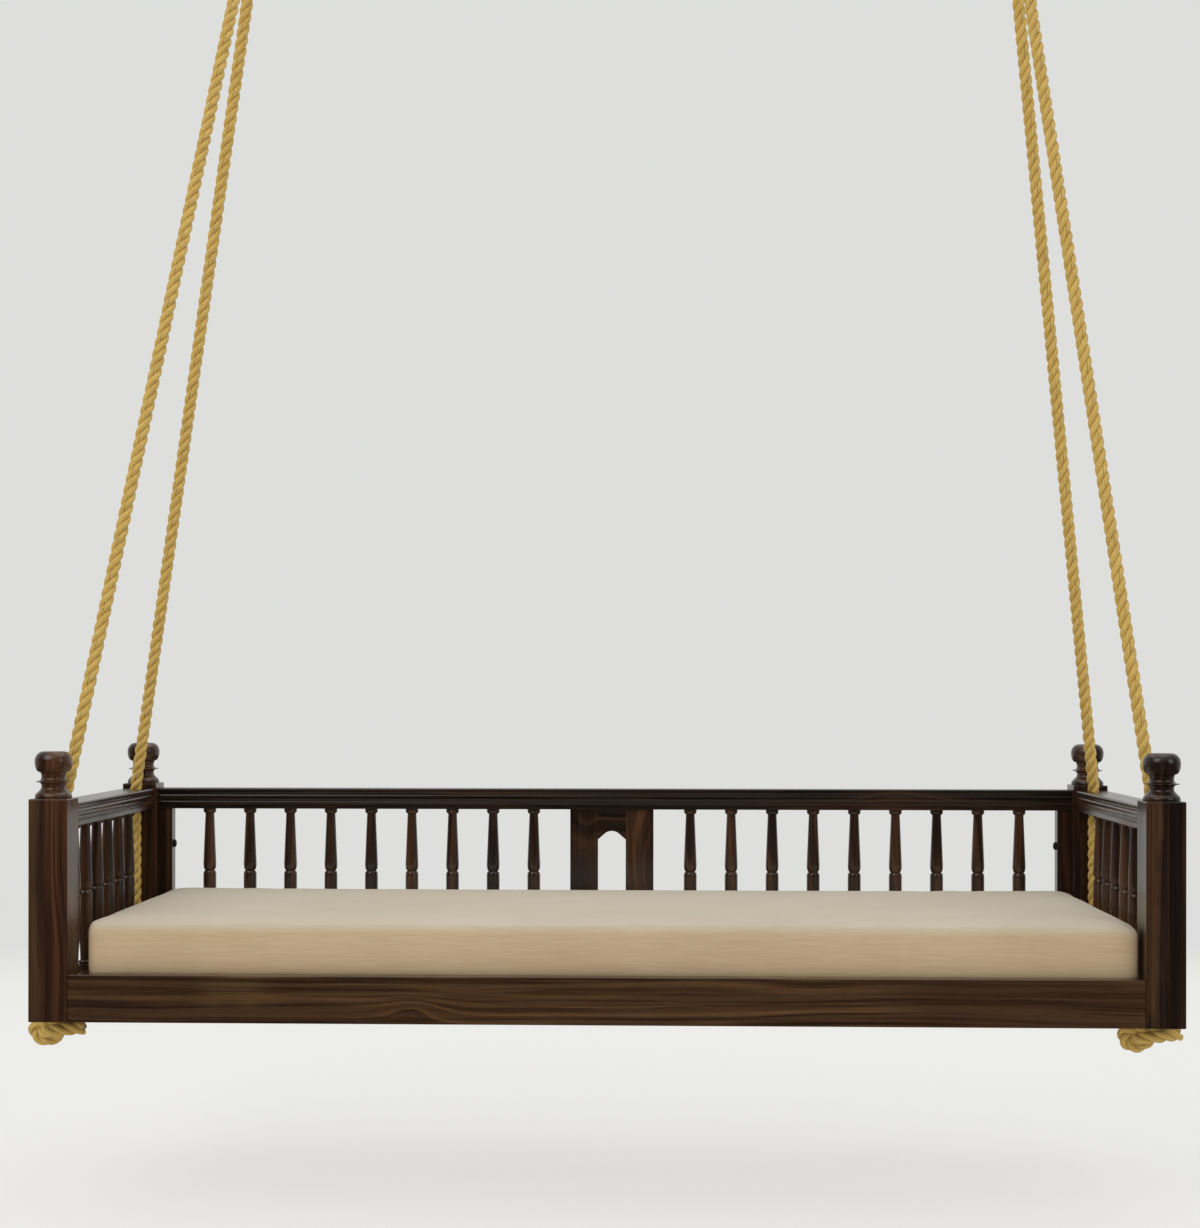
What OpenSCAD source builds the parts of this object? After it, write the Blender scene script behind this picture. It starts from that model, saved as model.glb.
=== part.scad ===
// Hanging swing bed: a turned and moulded wooden day bed on four ropes, hung from two ceiling links.
// Millimetres, Z up, X along the bed, Y from front to back.
// The origin is on the ceiling, midway between the two plates.

/* [Overall] */
// Bed length over the posts
bed_length = 2012; // [1900:1:2200]
// Bed depth over the posts
bed_depth = 694; // [640:1:820]
// From the ceiling down to the underside of the posts
bed_drop = 2307; // [2000:1:2800]
// Distance between the two ceiling plates' middles
hook_span = 1398; // [1000:2:1800]
// How far the bed's middle hangs to the left of the plates' middle
hook_shift = 35; // [-60:1:60]

/* [Posts and finials] */
// Side of a square post
post_w = 69; // [66:1:85]
// Post height up to its shoulder
post_h = 391; // [360:1:480]
// Chamfer on the post's long edges and feet
post_arris = 2; // [1:0.5:4]
// Finial height above the shoulder
finial_h = 83; // [60:1:120]
// Finial diameter at its bell-shaped base
finial_base_d = 64; // [56:1:65]
// Finial diameter at its lower neck
finial_neck_d = 42; // [30:1:50]
// Finial diameter at its sharp ring
finial_ring_d = 60; // [52:1:65]
// Finial diameter at its ball
finial_ball_d = 65; // [52:1:65]
// Diameter of the flat on the finial's ball
finial_flat_d = 34; // [20:1:44]

/* [Bottom rails] */
// Height of the front rail
front_rail_h = 83; // [70:1:110]
// Thickness of the front rail
front_rail_t = 28; // [22:1:34]
// How far the front rail lies behind the posts' faces
rail_reveal = 2; // [1:0.5:5]
// Height of the side and back bottom rails
low_rail_h = 63; // [50:1:69]
// Thickness of the side bottom rails
side_rail_t = 50; // [40:1:60]
// Thickness of the back bottom rail
back_rail_t = 28; // [24:1:34]
// Thickness of a rail's tenon
tenon_t = 14; // [10:1:18]
// Step from a rail's edge down to its tenon
tenon_shoulder = 8; // [4:1:12]
// Wood left between two tenons that come near each other in a post
tenon_web = 1.5; // [1:0.5:6]
// Clearance all round a tenon or a wooden pin
joint_gap = 0.15; // [0.05:0.05:0.3]

/* [Top rails] */
// Height of the moulded top rails
top_rail_h = 42; // [36:1:56]
// How far the top rails' tops lie below the posts' shoulders
top_rail_drop = 10; // [4:1:20]
// Width of the side top rails
side_top_w = 63; // [54:1:65]
// Depth of the back top rail, front to back
back_top_w = 40; // [36:1:56]
// How deep the moulding is cut into a top rail's face
mould_depth = 3; // [1.5:0.5:4]

/* [Spindles] */
// Greatest diameter of a spindle
spindle_d = 26.5; // [22:0.5:30]
// Spindle diameter at its necks
spindle_neck_d = 18; // [14:0.5:20]
// Spindle diameter in the groove at its waist
spindle_waist_d = 19; // [14:0.5:21]
// From the top rail down to the spindle's waist
spindle_waist_z = 128; // [115:1:140]
// Height of a spindle's collars
spindle_collar_h = 10; // [6:1:14]
// Height of the straight band on a spindle's collars
spindle_band_h = 3; // [2:0.5:5]
// Height of the rounded shoulder above the waist
spindle_shoulder_up = 14; // [8:1:18]
// Height of the rounded shoulder below the waist
spindle_shoulder_low = 9; // [4:1:12]
// Height of the ring above a spindle's lower collar
spindle_ring_h = 7; // [5:1:10]
// Diameter of the round pins on a spindle's ends
spindle_pin_d = 12; // [9:0.5:14]
// Length of the round pins on a spindle's ends
spindle_pin_l = 12; // [8:1:18]
// Spindles on each side of the centre splat
back_spindles = 9; // [6:1:9]
// Distance between the back spindles
back_pitch = 84; // [76:1:84]
// From the bed's middle to the first back spindle
back_first = 161; // [140:1:165]
// Spindles in each side
side_spindles = 6; // [4:1:6]
// Distance between the side spindles
side_pitch = 76; // [60:1:78]

/* [Back panel] */
// Width of the stiles bolted to the back posts
stile_w = 29; // [22:1:36]
// Thickness of the back panel's stiles
stile_t = 28; // [22:1:34]
// Width of each upright board of the centre splat
splat_w = 57; // [40:1:64]
// Width of the splat's opening
splat_gap = 57; // [40:1:60]
// Thickness of the splat
splat_t = 20; // [16:1:24]
// Height of the arched blocks at the opening's sides
arch_h = 62; // [50:1:75]
// Slope of the arch's straight shoulders, in degrees
arch_slope = 41; // [35:1:45]
// Radius of the arch's round top
arch_r = 22; // [12:1:28]
// Length of the splat boards' stub tenons
stub_l = 10; // [6:1:16]
// Thickness of the splat boards' stub tenons
stub_t = 12; // [8:1:14]
// Step from a splat board's edge to its stub tenon
stub_shoulder = 8; // [4:1:14]
// Diameter of the stile bolts
stile_bolt_d = 8; // [6:1:10]
// Diameter of the stile bolts' round heads
stile_head_d = 16; // [14:1:20]
// Height of the stile bolts' heads
stile_head_h = 6; // [4:1:8]
// Height of the upper stile bolt above the posts' feet
bolt_z_high = 266; // [220:1:300]
// Height of the lower stile bolt above the posts' feet
bolt_z_low = 150; // [110:1:180]
// How far the stile bolts reach into the posts
bolt_reach = 30; // [20:1:50]

/* [Deck and mattress] */
// Number of slats
slats = 14; // [8:1:17]
// Width of a slat
slat_w = 70; // [50:1:90]
// Thickness of a slat
slat_t = 18; // [12:1:22]
// Side of the square cleats that carry the slats
cleat_w = 25; // [20:1:30]
// Width of the bearer under the slats' middle
bearer_w = 40; // [30:1:60]
// Height of the bearer under the slats' middle
bearer_h = 32; // [25:1:34]
// Length of the bearer's tenons in the side rails
bearer_tenon_l = 14; // [8:1:20]
// Step from the bearer's edge to its tenon
bearer_shoulder = 4; // [2:1:8]
// Gap between the outermost slats and the posts
slat_end_gap = 6; // [2:1:20]
// Gap between a cleat's ends and the posts
cleat_end_gap = 4; // [1:1:20]
// Diameter of the wood screws
screw_d = 4; // [3:0.5:5]
// How far a wood screw bites into the second piece
screw_bite = 14; // [8:1:20]
// Average gap between the mattress's ends and the posts
mattress_end_gap = 19; // [11:1:60]
// Gap between the mattress and the front rail
mattress_front_gap = 1; // [0.5:0.5:10]
// Gap between the mattress and the back rail
mattress_back_gap = 6.5; // [0.5:0.5:20]
// Mattress thickness
mattress_t = 117; // [80:1:150]
// Radius of the mattress's edges
mattress_r = 16; // [8:1:30]
// How far the mattress lies to the right of the middle
mattress_shift = 8; // [-10:1:10]

/* [Ropes] */
// Rope diameter
rope_d = 24; // [16:1:26]
// Clearance all round the rope in its holes
rope_hole_gap = 1.5; // [1:0.5:3]
// From a post's face to the middle of the rope's hole
rope_inset = 30; // [22:1:60]
// Gap between the hung rope and the rope in the rail, for its tilt
rope_tilt_gap = 0.95; // [0.9:0.05:2]
// Outside diameter of a rope's stopper knot
knot_d = 68; // [52:1:80]
// Depth of a rope's stopper knot below the rail
knot_h = 62; // [52:1:72]
// How far a knot's middle lies to the left of its rope
knot_offset = 28; // [0:1:32]
// From the rope's middle to the tip of its cut end
tail_l = 44; // [36:1:80]
// Height of the cut end's middle below the rail
tail_z = 22; // [14:1:34]
// From an eye's middle down to where its two legs run side by side
throat_l = 66; // [60:1:100]
// Gap between an eye's two legs
leg_gap = 0.6; // [0.4:0.1:2]
// Length of the rope's cut end below the seizing
eye_tail_l = 30; // [10:1:80]
// From where the legs meet down to the twine seizing
seizing_drop = 8; // [6:1:20]
// Height of the twine seizing below an eye
seizing_h = 48; // [12:1:80]
// Thickness of the twine seizing
seizing_t = 2; // [1:0.5:3]

/* [Thimbles] */
// Inside diameter of a thimble
thimble_d = 28; // [24:1:34]
// How far a thimble stands proud of the rope on each side
thimble_rim = 0.5; // [0.2:0.1:2]
// Thickness of a thimble's wall behind the rope
thimble_t = 2.7; // [2:0.1:4]
// Gap between a thimble and the pin it hangs on, for the ropes' sway
thimble_hang_gap = 0.6; // [0.5:0.05:1]
// Gap between a soft piece and what it rests on
seat_gap = 0.3; // [0.2:0.05:0.5]

/* [Ceiling hardware] */
// Ceiling plate size along the bed
plate_x = 90; // [70:1:140]
// Ceiling plate size from front to back
plate_y = 150; // [130:1:220]
// Ceiling plate thickness
plate_t = 8; // [5:1:12]
// Radius of the ceiling plate's corners
plate_corner_r = 8; // [3:1:20]
// Distance between the two bolt holes of a plate
plate_bolt_span = 110; // [90:1:160]
// Diameter of the ceiling bolt holes
plate_bolt_d = 11; // [8:0.5:14]
// Thickness of a clevis ear
ear_t = 8; // [6:1:12]
// Radius of a clevis ear round the swing pin
ear_r = 20; // [15:1:24]
// From the ceiling down to the swing pin
swing_pin_z = 34; // [32:1:50]
// Diameter of the swing pin
swing_pin_d = 12; // [10:1:16]
// Distance between a link's two pins
link_l = 60; // [56:1:120]
// Width of a link's eyes along their pins
link_w = 24; // [18:1:40]
// Radius of a link's eyes
link_r = 15; // [13:1:18]
// Side of a link's square shank
shank_w = 16; // [12:1:18]
// Diameter of the pin that carries a pair of ropes
rope_pin_d = 16; // [12:1:18]
// Side gap between a link and what it turns beside
side_gap = 0.5; // [0.3:0.1:1]
// Radial clearance of a pin in its bore
pin_gap = 0.05; // [0.02:0.01:0.09]
// Diameter of the swing pins' heads and nuts
swing_head_d = 22; // [20:1:28]
// Diameter of the rope pins' nuts
rope_nut_d = 28; // [26:1:32]
// How far a rope pin's head and washer reach past a thimble's bore
retainer_lip = 2.5; // [1.5:0.5:4]
// Thickness of the rope pins' washers
washer_t = 2; // [1.5:0.5:4]
// Height of the pins' heads
head_h = 7; // [5:1:10]
// Height of the pins' nuts
nut_h = 9; // [7:1:12]

/* [Hidden] */
$fn = 48;
LEFT = -1;
RIGHT = 1;
FRONT = -1;
BACK = 1;
ROPE_SIDES = 12;
RUN_STEPS = 8;
EPS = 0.01;
CUT = 1;
ARC_STEPS = 12;
// The four kinds of stretch in a turned or moulded outline
LINE = 0;
ROUND = 1;
COVE = 2;
OGEE = 3;
CURVE_STEPS = 5;
// Heights on the finial, as shares of its own height
BASE_AT = 0.043;
NECK_AT = 0.241;
RING_FOOT_AT = 0.282;
RING_AT = 0.357;
WAIST_AT = 0.443;
BALL_FOOT_AT = 0.559;
BALL_AT = 0.777;
// A fine rounding or a fillet beside a sharp edge
FINE = 0.8;
// Share of the rope's radius that a thimble's groove takes in
THIMBLE_GRIP = 0.6;
// How far the legs bow out and how long before they meet
BOW = 1.2;
BOW_L = 6;
// Radius of a knot's lower turn as a share of its upper turn's
LOWER_TURN = 0.6;
WOOD = [0.25, 0.14, 0.08];
SOFTWOOD = [0.72, 0.58, 0.40];
STEEL = [0.62, 0.63, 0.65];
DARK_STEEL = [0.15, 0.15, 0.16];
ROPE = [0.80, 0.66, 0.34];
TWINE = [0.66, 0.52, 0.25];
CLOTH = [0.78, 0.73, 0.64];

// Places in the bed's own frame: middle of the bed, up from the posts' feet
half_l = bed_length / 2;
half_d = bed_depth / 2;
post_cx = half_l - post_w / 2;
post_cy = half_d - post_w / 2;
inner_x = half_l - post_w;
inner_y = half_d - post_w;
top_z = post_h - top_rail_drop;
top_rail_z = top_z - top_rail_h;
front_rail_y = -half_d + rail_reveal + front_rail_t / 2;
front_rail_back = front_rail_y + front_rail_t / 2;
back_rail_front = post_cy - back_rail_t / 2;
side_rail_in = post_cx - side_rail_t / 2;
rope_x = post_cx;
rope_y = inner_y - rope_inset;
deck_z = low_rail_h;
slat_z = deck_z - slat_t;
tenon_l = (post_w - tenon_t) / 2 - tenon_web;
front_tenon_h = front_rail_h - 2 * tenon_shoulder;
low_tenon_h = low_rail_h - 2 * tenon_shoulder;
top_tenon_h = top_rail_h - 2 * tenon_shoulder;
stile_in = inner_x - stile_w;
splat_cx = (splat_gap + splat_w) / 2;
stub_w = splat_w - 2 * stub_shoulder;
spindle_len = top_rail_z - low_rail_h;
spindle_at = top_rail_z - spindle_waist_z;
slat_y0 = front_rail_back + side_gap;
slat_y1 = back_rail_front - side_gap;
slat_run = inner_x - slat_w / 2 - slat_end_gap;
bearer_y = (slat_y0 + slat_y1) / 2;
bearer_tenon_h = bearer_h - 2 * bearer_shoulder;
cleat_l = 2 * (inner_x - cleat_end_gap);
screw_l = slat_t + screw_bite;
mattress_y0 = front_rail_back + mattress_front_gap;
mattress_w = back_rail_front - mattress_back_gap - mattress_y0;
mattress_l = 2 * (inner_x - mattress_end_gap);

// Places in the row's frame
rope_pin_z = -swing_pin_z - link_l;
rope_r = rope_d / 2;
rope_hole_d = rope_d + 2 * rope_hole_gap;
thimble_r = thimble_d / 2;
thimble_w = rope_d + 2 * thimble_rim;
eye_r = thimble_r + thimble_t + rope_r;
eye_y = link_w / 2 + side_gap + thimble_w / 2;
leg_a = rope_r + leg_gap / 2;
seizing_end = throat_l + seizing_drop + seizing_h;
swing_pin_half = link_w / 2 + side_gap + ear_t;
rope_pin_half = link_w / 2 + side_gap + thimble_w + side_gap;
retainer_d = thimble_d + 2 * retainer_lip;

function hook_x(s) = s * hook_span / 2;
function hole_at(s, q) = [s * rope_x - hook_shift, q * rope_y, top_z - bed_drop];
function unit2(v) = v / norm(v);
// The pull of a side's ropes seen from the front, from the rope pin to the rail's hole
function pull(s) = unit2([hole_at(s, 1)[0] - hook_x(s), 0, hole_at(s, 1)[2] - rope_pin_z]);
function lean(s) = atan2(-pull(s)[0], -pull(s)[2]);
function eye_at(s, q) =
  [hook_x(s), q * eye_y, rope_pin_z] + pull(s) * (thimble_r - rope_pin_d / 2 - thimble_hang_gap);

// Puts what is drawn in the bed's own frame under the ceiling
module in_bed() {
  translate([-hook_shift, 0, -bed_drop])
    children();
}

// A round bar along X, centred
module bar_x(r, l) {
  rotate([0, 90, 0])
    cylinder(h = l, r = r, center = true);
}

// A round bar along Y, centred
module bar_y(r, l) {
  rotate([90, 0, 0])
    cylinder(h = l, r = r, center = true);
}

module box(size) {
  cube(size, center = true);
}

module rounded_rect(w, h, r) {
  square([w - 2 * r, h], center = true);
  square([w, h - 2 * r], center = true);
  for (x = [-1, 1], y = [-1, 1])
    translate([x * (w / 2 - r), y * (h / 2 - r)])
      circle(r = r);
}

// One stretch of an outline from a to b, each [radius, height]. A round leaves along the axis and arrives across it,
// a cove leaves across it and arrives along it, and an ogee runs along the axis at both its ends.
function stretch(kind, a, b) =
  kind == LINE ? [b] : [
    for (i = [1 : CURVE_STEPS])
      let (t = 90 * i / CURVE_STEPS)
        kind == ROUND ? [b[0] + (a[0] - b[0]) * cos(t), a[1] + (b[1] - a[1]) * sin(t)]
        : kind == COVE ? [a[0] + (b[0] - a[0]) * sin(t), b[1] + (a[1] - b[1]) * cos(t)]
        : [a[0] + (b[0] - a[0]) * (1 - cos(2 * t)) / 2, a[1] + (b[1] - a[1]) * i / CURVE_STEPS]
  ];

// An outline that starts with the points in p and follows the cuts, each [kind, radius, height]
function outline(p, cuts, i = 0) =
  i == len(cuts) ? p
  : outline(concat(p, stretch(cuts[i][0], p[len(p) - 1], [cuts[i][1], cuts[i][2]])), cuts, i + 1);

// ---- Ceiling hardware ----

// Outline of a clevis ear round its pin, up into the plate
module clevis_ear() {
  circle(r = ear_r);
  translate([-ear_r, 0])
    square([2 * ear_r, swing_pin_z - plate_t / 2]);
}

module ceiling_plate(s) {
  color(STEEL)
    translate([hook_x(s), 0, 0])
      difference() {
        union() {
          translate([0, 0, -plate_t / 2])
            linear_extrude(plate_t, center = true)
              rounded_rect(plate_x, plate_y, plate_corner_r);
          for (e = [-1, 1])
            translate([e * (link_w / 2 + side_gap + ear_t / 2), 0, -swing_pin_z])
              rotate([90, 0, 90])
                linear_extrude(ear_t, center = true)
                  clevis_ear();
        }
        translate([0, 0, -swing_pin_z])
          bar_x(swing_pin_d / 2 + pin_gap, plate_x);
        for (q = [FRONT, BACK])
          translate([0, q * plate_bolt_span / 2, -plate_t / 2])
            cylinder(h = plate_t + 2 * CUT, d = plate_bolt_d, center = true);
      }
}

module swing_pins() {
  color(DARK_STEEL)
    for (s = [LEFT, RIGHT])
      translate([hook_x(s), 0, -swing_pin_z]) {
        translate([nut_h / 2, 0, 0])
          bar_x(swing_pin_d / 2, 2 * swing_pin_half + nut_h);
        translate([-swing_pin_half - head_h / 2, 0, 0])
          bar_x(swing_head_d / 2, head_h);
      }
}

module swing_pin_nuts() {
  color(DARK_STEEL)
    for (s = [LEFT, RIGHT])
      translate([hook_x(s) + swing_pin_half + nut_h / 2, 0, -swing_pin_z])
        rotate([0, 90, 0])
          difference() {
            linear_extrude(nut_h, center = true)
              circle(d = swing_head_d, $fn = 6);
            cylinder(h = nut_h + 2 * CUT, r = swing_pin_d / 2 + pin_gap, center = true);
          }
}

module swing_link(s) {
  color(STEEL)
    translate([hook_x(s), 0, -swing_pin_z])
      difference() {
        union() {
          bar_x(link_r, link_w);
          translate([0, 0, -link_l])
            bar_y(link_r, link_w);
          translate([0, 0, -link_l / 2])
            box([shank_w, shank_w, link_l]);
        }
        bar_x(swing_pin_d / 2 + pin_gap, link_w + 2 * CUT);
        translate([0, 0, -link_l])
          bar_y(rope_pin_d / 2 + pin_gap, link_w + 2 * CUT);
      }
}

module rope_pin(s) {
  color(DARK_STEEL)
    translate([hook_x(s), 0, rope_pin_z]) {
      translate([0, nut_h / 2, 0])
        bar_y(rope_pin_d / 2, 2 * rope_pin_half + nut_h);
      translate([0, -rope_pin_half - head_h / 2, 0])
        bar_y(retainer_d / 2, head_h);
    }
}

// A hexagon nut with its washer, on the back end of a rope pin
module rope_pin_nut(s) {
  color(DARK_STEEL)
    translate([hook_x(s), rope_pin_half, rope_pin_z])
      rotate([-90, 0, 0])
        difference() {
          union() {
            linear_extrude(nut_h)
              circle(d = rope_nut_d, $fn = 6);
            cylinder(h = washer_t, d = retainer_d);
          }
          translate([0, 0, -CUT])
            cylinder(h = nut_h + 2 * CUT, r = rope_pin_d / 2 + pin_gap);
        }
}

// ---- Ropes ----

// The grooved ring inside a rope's eye, its axis along Y
module thimble(s, q) {
  translate(eye_at(s, q))
    rotate([90, 0, 0])
      rotate_extrude()
        difference() {
          translate([thimble_r, -thimble_w / 2])
            square([thimble_t + THIMBLE_GRIP * rope_r, thimble_w]);
          translate([eye_r, 0])
            circle(r = rope_r + joint_gap);
        }
}

module thimbles(s) {
  color(STEEL)
    for (q = [FRONT, BACK])
      thimble(s, q);
}

// A point of an eye's own plane: a across the pull, b along it from the eye's middle
function eye_plane(s, q, a, b) =
  eye_at(s, q) + [-pull(s)[2], 0, pull(s)[0]] * a + pull(s) * b;

// The hung rope's middle line, from its cut end beside the seizing, round the thimble and down to the rail
function rope_line(s, q) =
  let (
    open = acos(eye_r / norm([leg_a, throat_l])) + atan2(leg_a, throat_l),
    step = (360 - 2 * open) / ARC_STEPS,
    r = eye_r / cos(step / 2),
    from = eye_plane(s, q, leg_a, seizing_end),
    to = hole_at(s, q),
    run = unit2(to - from)
  )
  concat(
    [
      eye_plane(s, q, -leg_a, seizing_end + eye_tail_l),
      eye_plane(s, q, -leg_a, throat_l + BOW_L),
      eye_plane(s, q, -leg_a - BOW, throat_l - BOW_L)
    ],
    [for (i = [0 : ARC_STEPS]) eye_plane(s, q, -r * sin(open + i * step), r * cos(open + i * step))],
    [
      eye_plane(s, q, leg_a + BOW, throat_l - BOW_L),
      eye_plane(s, q, leg_a, throat_l + BOW_L)
    ],
    [for (i = [0 : RUN_STEPS - 1]) from + (to - from) * i / RUN_STEPS],
    [to + run * (rope_tilt_gap / run[2])]
  );

function mid_dir(p, i) =
  unit2(p[min(i + 1, len(p) - 1)] - p[max(i - 1, 0)]);

// One ring of the tube round point i; the last ring lies level, so that the rope ends flat over the rail
function rope_ring(p, i) =
  let (
    last = i == len(p) - 1,
    d = mid_dir(p, i),
    e1 = unit2(cross(d, [0, 1, 0])),
    e2 = cross(d, e1)
  )
  [
    for (k = [0 : ROPE_SIDES - 1])
      let (o = (e1 * cos(k * 360 / ROPE_SIDES) + e2 * sin(k * 360 / ROPE_SIDES)) * rope_r)
        p[i] + o - (last ? d * (o[2] / d[2]) : [0, 0, 0])
  ];

// The hung rope with its eye, one tube swept along its middle line
module rope(s, q) {
  p = rope_line(s, q);
  n = ROPE_SIDES;
  m = len(p);
  color(ROPE)
    polyhedron(
      points = [for (i = [0 : m - 1]) each rope_ring(p, i)],
      faces = concat(
        [[for (k = [0 : n - 1]) k]],
        [[for (k = [n - 1 : -1 : 0]) (m - 1) * n + k]],
        [
          for (i = [0 : m - 2], k = [0 : n - 1])
            each [
              [i * n + k, (i + 1) * n + k, i * n + (k + 1) % n],
              [i * n + (k + 1) % n, (i + 1) * n + k, (i + 1) * n + (k + 1) % n]
            ]
        ]
      )
    );
}

// The twine bound round the rope's two legs under each eye
module seizings(s) {
  color(TWINE)
    for (q = [FRONT, BACK])
      translate(eye_plane(s, q, 0, throat_l + seizing_drop))
        rotate([0, lean(s), 0])
          mirror([0, 0, 1])
            linear_extrude(seizing_h)
              difference() {
                legs_outline(seizing_t + joint_gap);
                legs_outline(joint_gap);
              }
}

// Outline round the two legs side by side, wider by gap
module legs_outline(gap) {
  for (e = [-1, 1])
    translate([e * leg_a, 0])
      circle(r = rope_r + gap);
  square([2 * leg_a, 2 * (rope_r + gap)], center = true);
}

// One turn of rope in a knot, round the Z axis
module knot_turn(r) {
  rotate_extrude()
    intersection() {
      translate([r, 0])
        circle(r = rope_r);
      translate([0, -rope_r])
        square([r + rope_r, rope_d]);
    }
}

// The rope from the side top rail's top down through both rails to its stopper knot and cut end
module rope_tail(s, q) {
  turn_r = knot_d / 2 - rope_r;
  low = rope_r - knot_h;
  color(ROPE)
    in_bed()
      translate([s * rope_x, q * rope_y, 0]) {
        translate([0, 0, -tail_z])
          cylinder(h = top_z + tail_z, r = rope_r);
        translate([(tail_l - knot_offset) / 2, 0, -tail_z])
          bar_x(rope_r, tail_l + knot_offset);
        translate([-knot_offset, 0, 0]) {
          translate([0, 0, -rope_r - seat_gap])
            knot_turn(turn_r);
          translate([0, 0, low])
            knot_turn(turn_r * LOWER_TURN);
          translate([0, 0, low])
            cylinder(h = -rope_r - low, r = turn_r);
        }
      }
}

// ---- Posts ----

// A finial turned in one with its post: a bell base, a neck, a sharp ring, a waist and a flattened ball
module finial() {
  h = finial_h;
  base_r = finial_base_d / 2;
  neck_r = finial_neck_d / 2;
  ring_r = finial_ring_d / 2;
  ball_r = finial_ball_d / 2;
  rotate_extrude()
    polygon(outline(
      [[0, -CUT], [base_r - FINE, -CUT], [base_r - FINE, 0]],
      [
        [COVE, base_r, FINE], [LINE, base_r, BASE_AT * h], [OGEE, neck_r, NECK_AT * h],
        [LINE, neck_r, RING_FOOT_AT * h], [ROUND, ring_r - FINE, RING_AT * h - FINE],
        [LINE, ring_r, RING_AT * h], [LINE, ring_r - FINE, RING_AT * h + FINE],
        [COVE, neck_r, WAIST_AT * h], [LINE, neck_r, WAIST_AT * h + FINE],
        [ROUND, (3 * neck_r + ball_r) / 4, BALL_FOOT_AT * h], [COVE, ball_r, BALL_AT * h - FINE],
        [LINE, ball_r, BALL_AT * h + FINE], [ROUND, finial_flat_d / 2, h], [LINE, 0, h]
      ]
    ));
}

// The square section of a post with its long edges chamfered
module arrised_square(w) {
  h = w / 2;
  c = post_arris;
  polygon([
    [h - c, -h], [h, -h + c], [h, h - c], [h - c, h],
    [-h + c, h], [-h, h - c], [-h, -h + c], [-h + c, -h]
  ]);
}

// A tenon of the given cross-section that leaves a rail's end along +X, from x = 0
module tenon(t, h, l) {
  translate([l / 2 - CUT / 2, 0, 0])
    box([l + CUT, t, h]);
}

// The mortise that takes the same tenon
module mortise(t, h, l) {
  tenon(t + 2 * joint_gap, h + 2 * joint_gap, l + 2 * joint_gap);
}

// A post, drawn with its finial and with the mortises for its rails
module post(s, q) {
  color(WOOD)
    in_bed()
      difference() {
        translate([s * post_cx, q * post_cy, 0]) {
          linear_extrude(post_h)
            arrised_square(post_w);
          translate([0, 0, post_h])
            finial();
        }
        if (q == FRONT)
          translate([s * inner_x, front_rail_y, front_rail_h / 2])
            rotate([0, 0, s == RIGHT ? 0 : 180])
              mortise(tenon_t, front_tenon_h, tenon_l);
        if (q == BACK) {
          translate([s * inner_x, post_cy, low_rail_h / 2])
            rotate([0, 0, s == RIGHT ? 0 : 180])
              mortise(tenon_t, low_tenon_h, tenon_l);
          translate([s * inner_x, post_cy, top_rail_z + top_rail_h / 2])
            rotate([0, 0, s == RIGHT ? 0 : 180])
              mortise(tenon_t, top_tenon_h, tenon_l);
          for (z = [bolt_z_low, bolt_z_high])
            translate([s * inner_x, post_cy, z])
              bar_x(stile_bolt_d / 2 + joint_gap, 2 * (bolt_reach + joint_gap));
        }
        translate([s * post_cx, q * inner_y, low_rail_h / 2])
          rotate([0, 0, 90 * q])
            mortise(tenon_t, low_tenon_h, tenon_l);
        translate([s * post_cx, q * inner_y, top_rail_z + top_rail_h / 2])
          rotate([0, 0, 90 * q])
            mortise(tenon_t, top_tenon_h, tenon_l);
      }
}

// ---- Bottom rails ----

// A rail's body and tenons along X, centred on the origin, bottom at z = 0
module plain_rail(l, t, h, th) {
  translate([0, 0, h / 2]) {
    box([l, t, h]);
    for (a = [0, 180])
      rotate([0, 0, a])
        translate([l / 2, 0, 0])
          tenon(tenon_t, th, tenon_l);
  }
}

module front_rail() {
  color(WOOD)
    in_bed()
      difference() {
        translate([0, front_rail_y, 0])
          plain_rail(2 * inner_x, front_rail_t, front_rail_h, front_tenon_h);
        cleat_screw_set(joint_gap);
      }
}

// Round holes for the back spindles' pins, opening upward (d = 1) or downward (d = -1) from height z
module back_pin_holes(z, d) {
  for (s = [LEFT, RIGHT], i = [0 : back_spindles - 1])
    translate([s * (back_first + i * back_pitch), post_cy, z - d * (spindle_pin_l / 2 + joint_gap)])
      cylinder(h = spindle_pin_l + 2 * joint_gap + EPS, d = spindle_pin_d + 2 * joint_gap, center = true);
}

// Flat mortises for the splat boards' stub tenons
module splat_holes(z, d) {
  for (s = [LEFT, RIGHT])
    translate([s * splat_cx, post_cy, z - d * (stub_l / 2 + joint_gap)])
      box([stub_w + 2 * joint_gap, stub_t + 2 * joint_gap, stub_l + 2 * joint_gap + EPS]);
}

module back_rail() {
  color(WOOD)
    in_bed()
      difference() {
        translate([0, post_cy, 0])
          plain_rail(2 * inner_x, back_rail_t, low_rail_h, low_tenon_h);
        back_pin_holes(low_rail_h, 1);
        splat_holes(low_rail_h, 1);
        cleat_screw_set(joint_gap);
      }
}

module side_pin_holes(s, z, d) {
  for (i = [0 : side_spindles - 1])
    translate([s * post_cx, side_y(i), z - d * (spindle_pin_l / 2 + joint_gap)])
      cylinder(h = spindle_pin_l + 2 * joint_gap + EPS, d = spindle_pin_d + 2 * joint_gap, center = true);
}

function side_y(i) = (i - (side_spindles - 1) / 2) * side_pitch;

// The upright holes for the ropes through a side rail
module rope_holes(s, z0, z1) {
  for (q = [FRONT, BACK])
    translate([s * rope_x, q * rope_y, z0 - CUT])
      cylinder(h = z1 - z0 + 2 * CUT, d = rope_hole_d);
}

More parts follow.
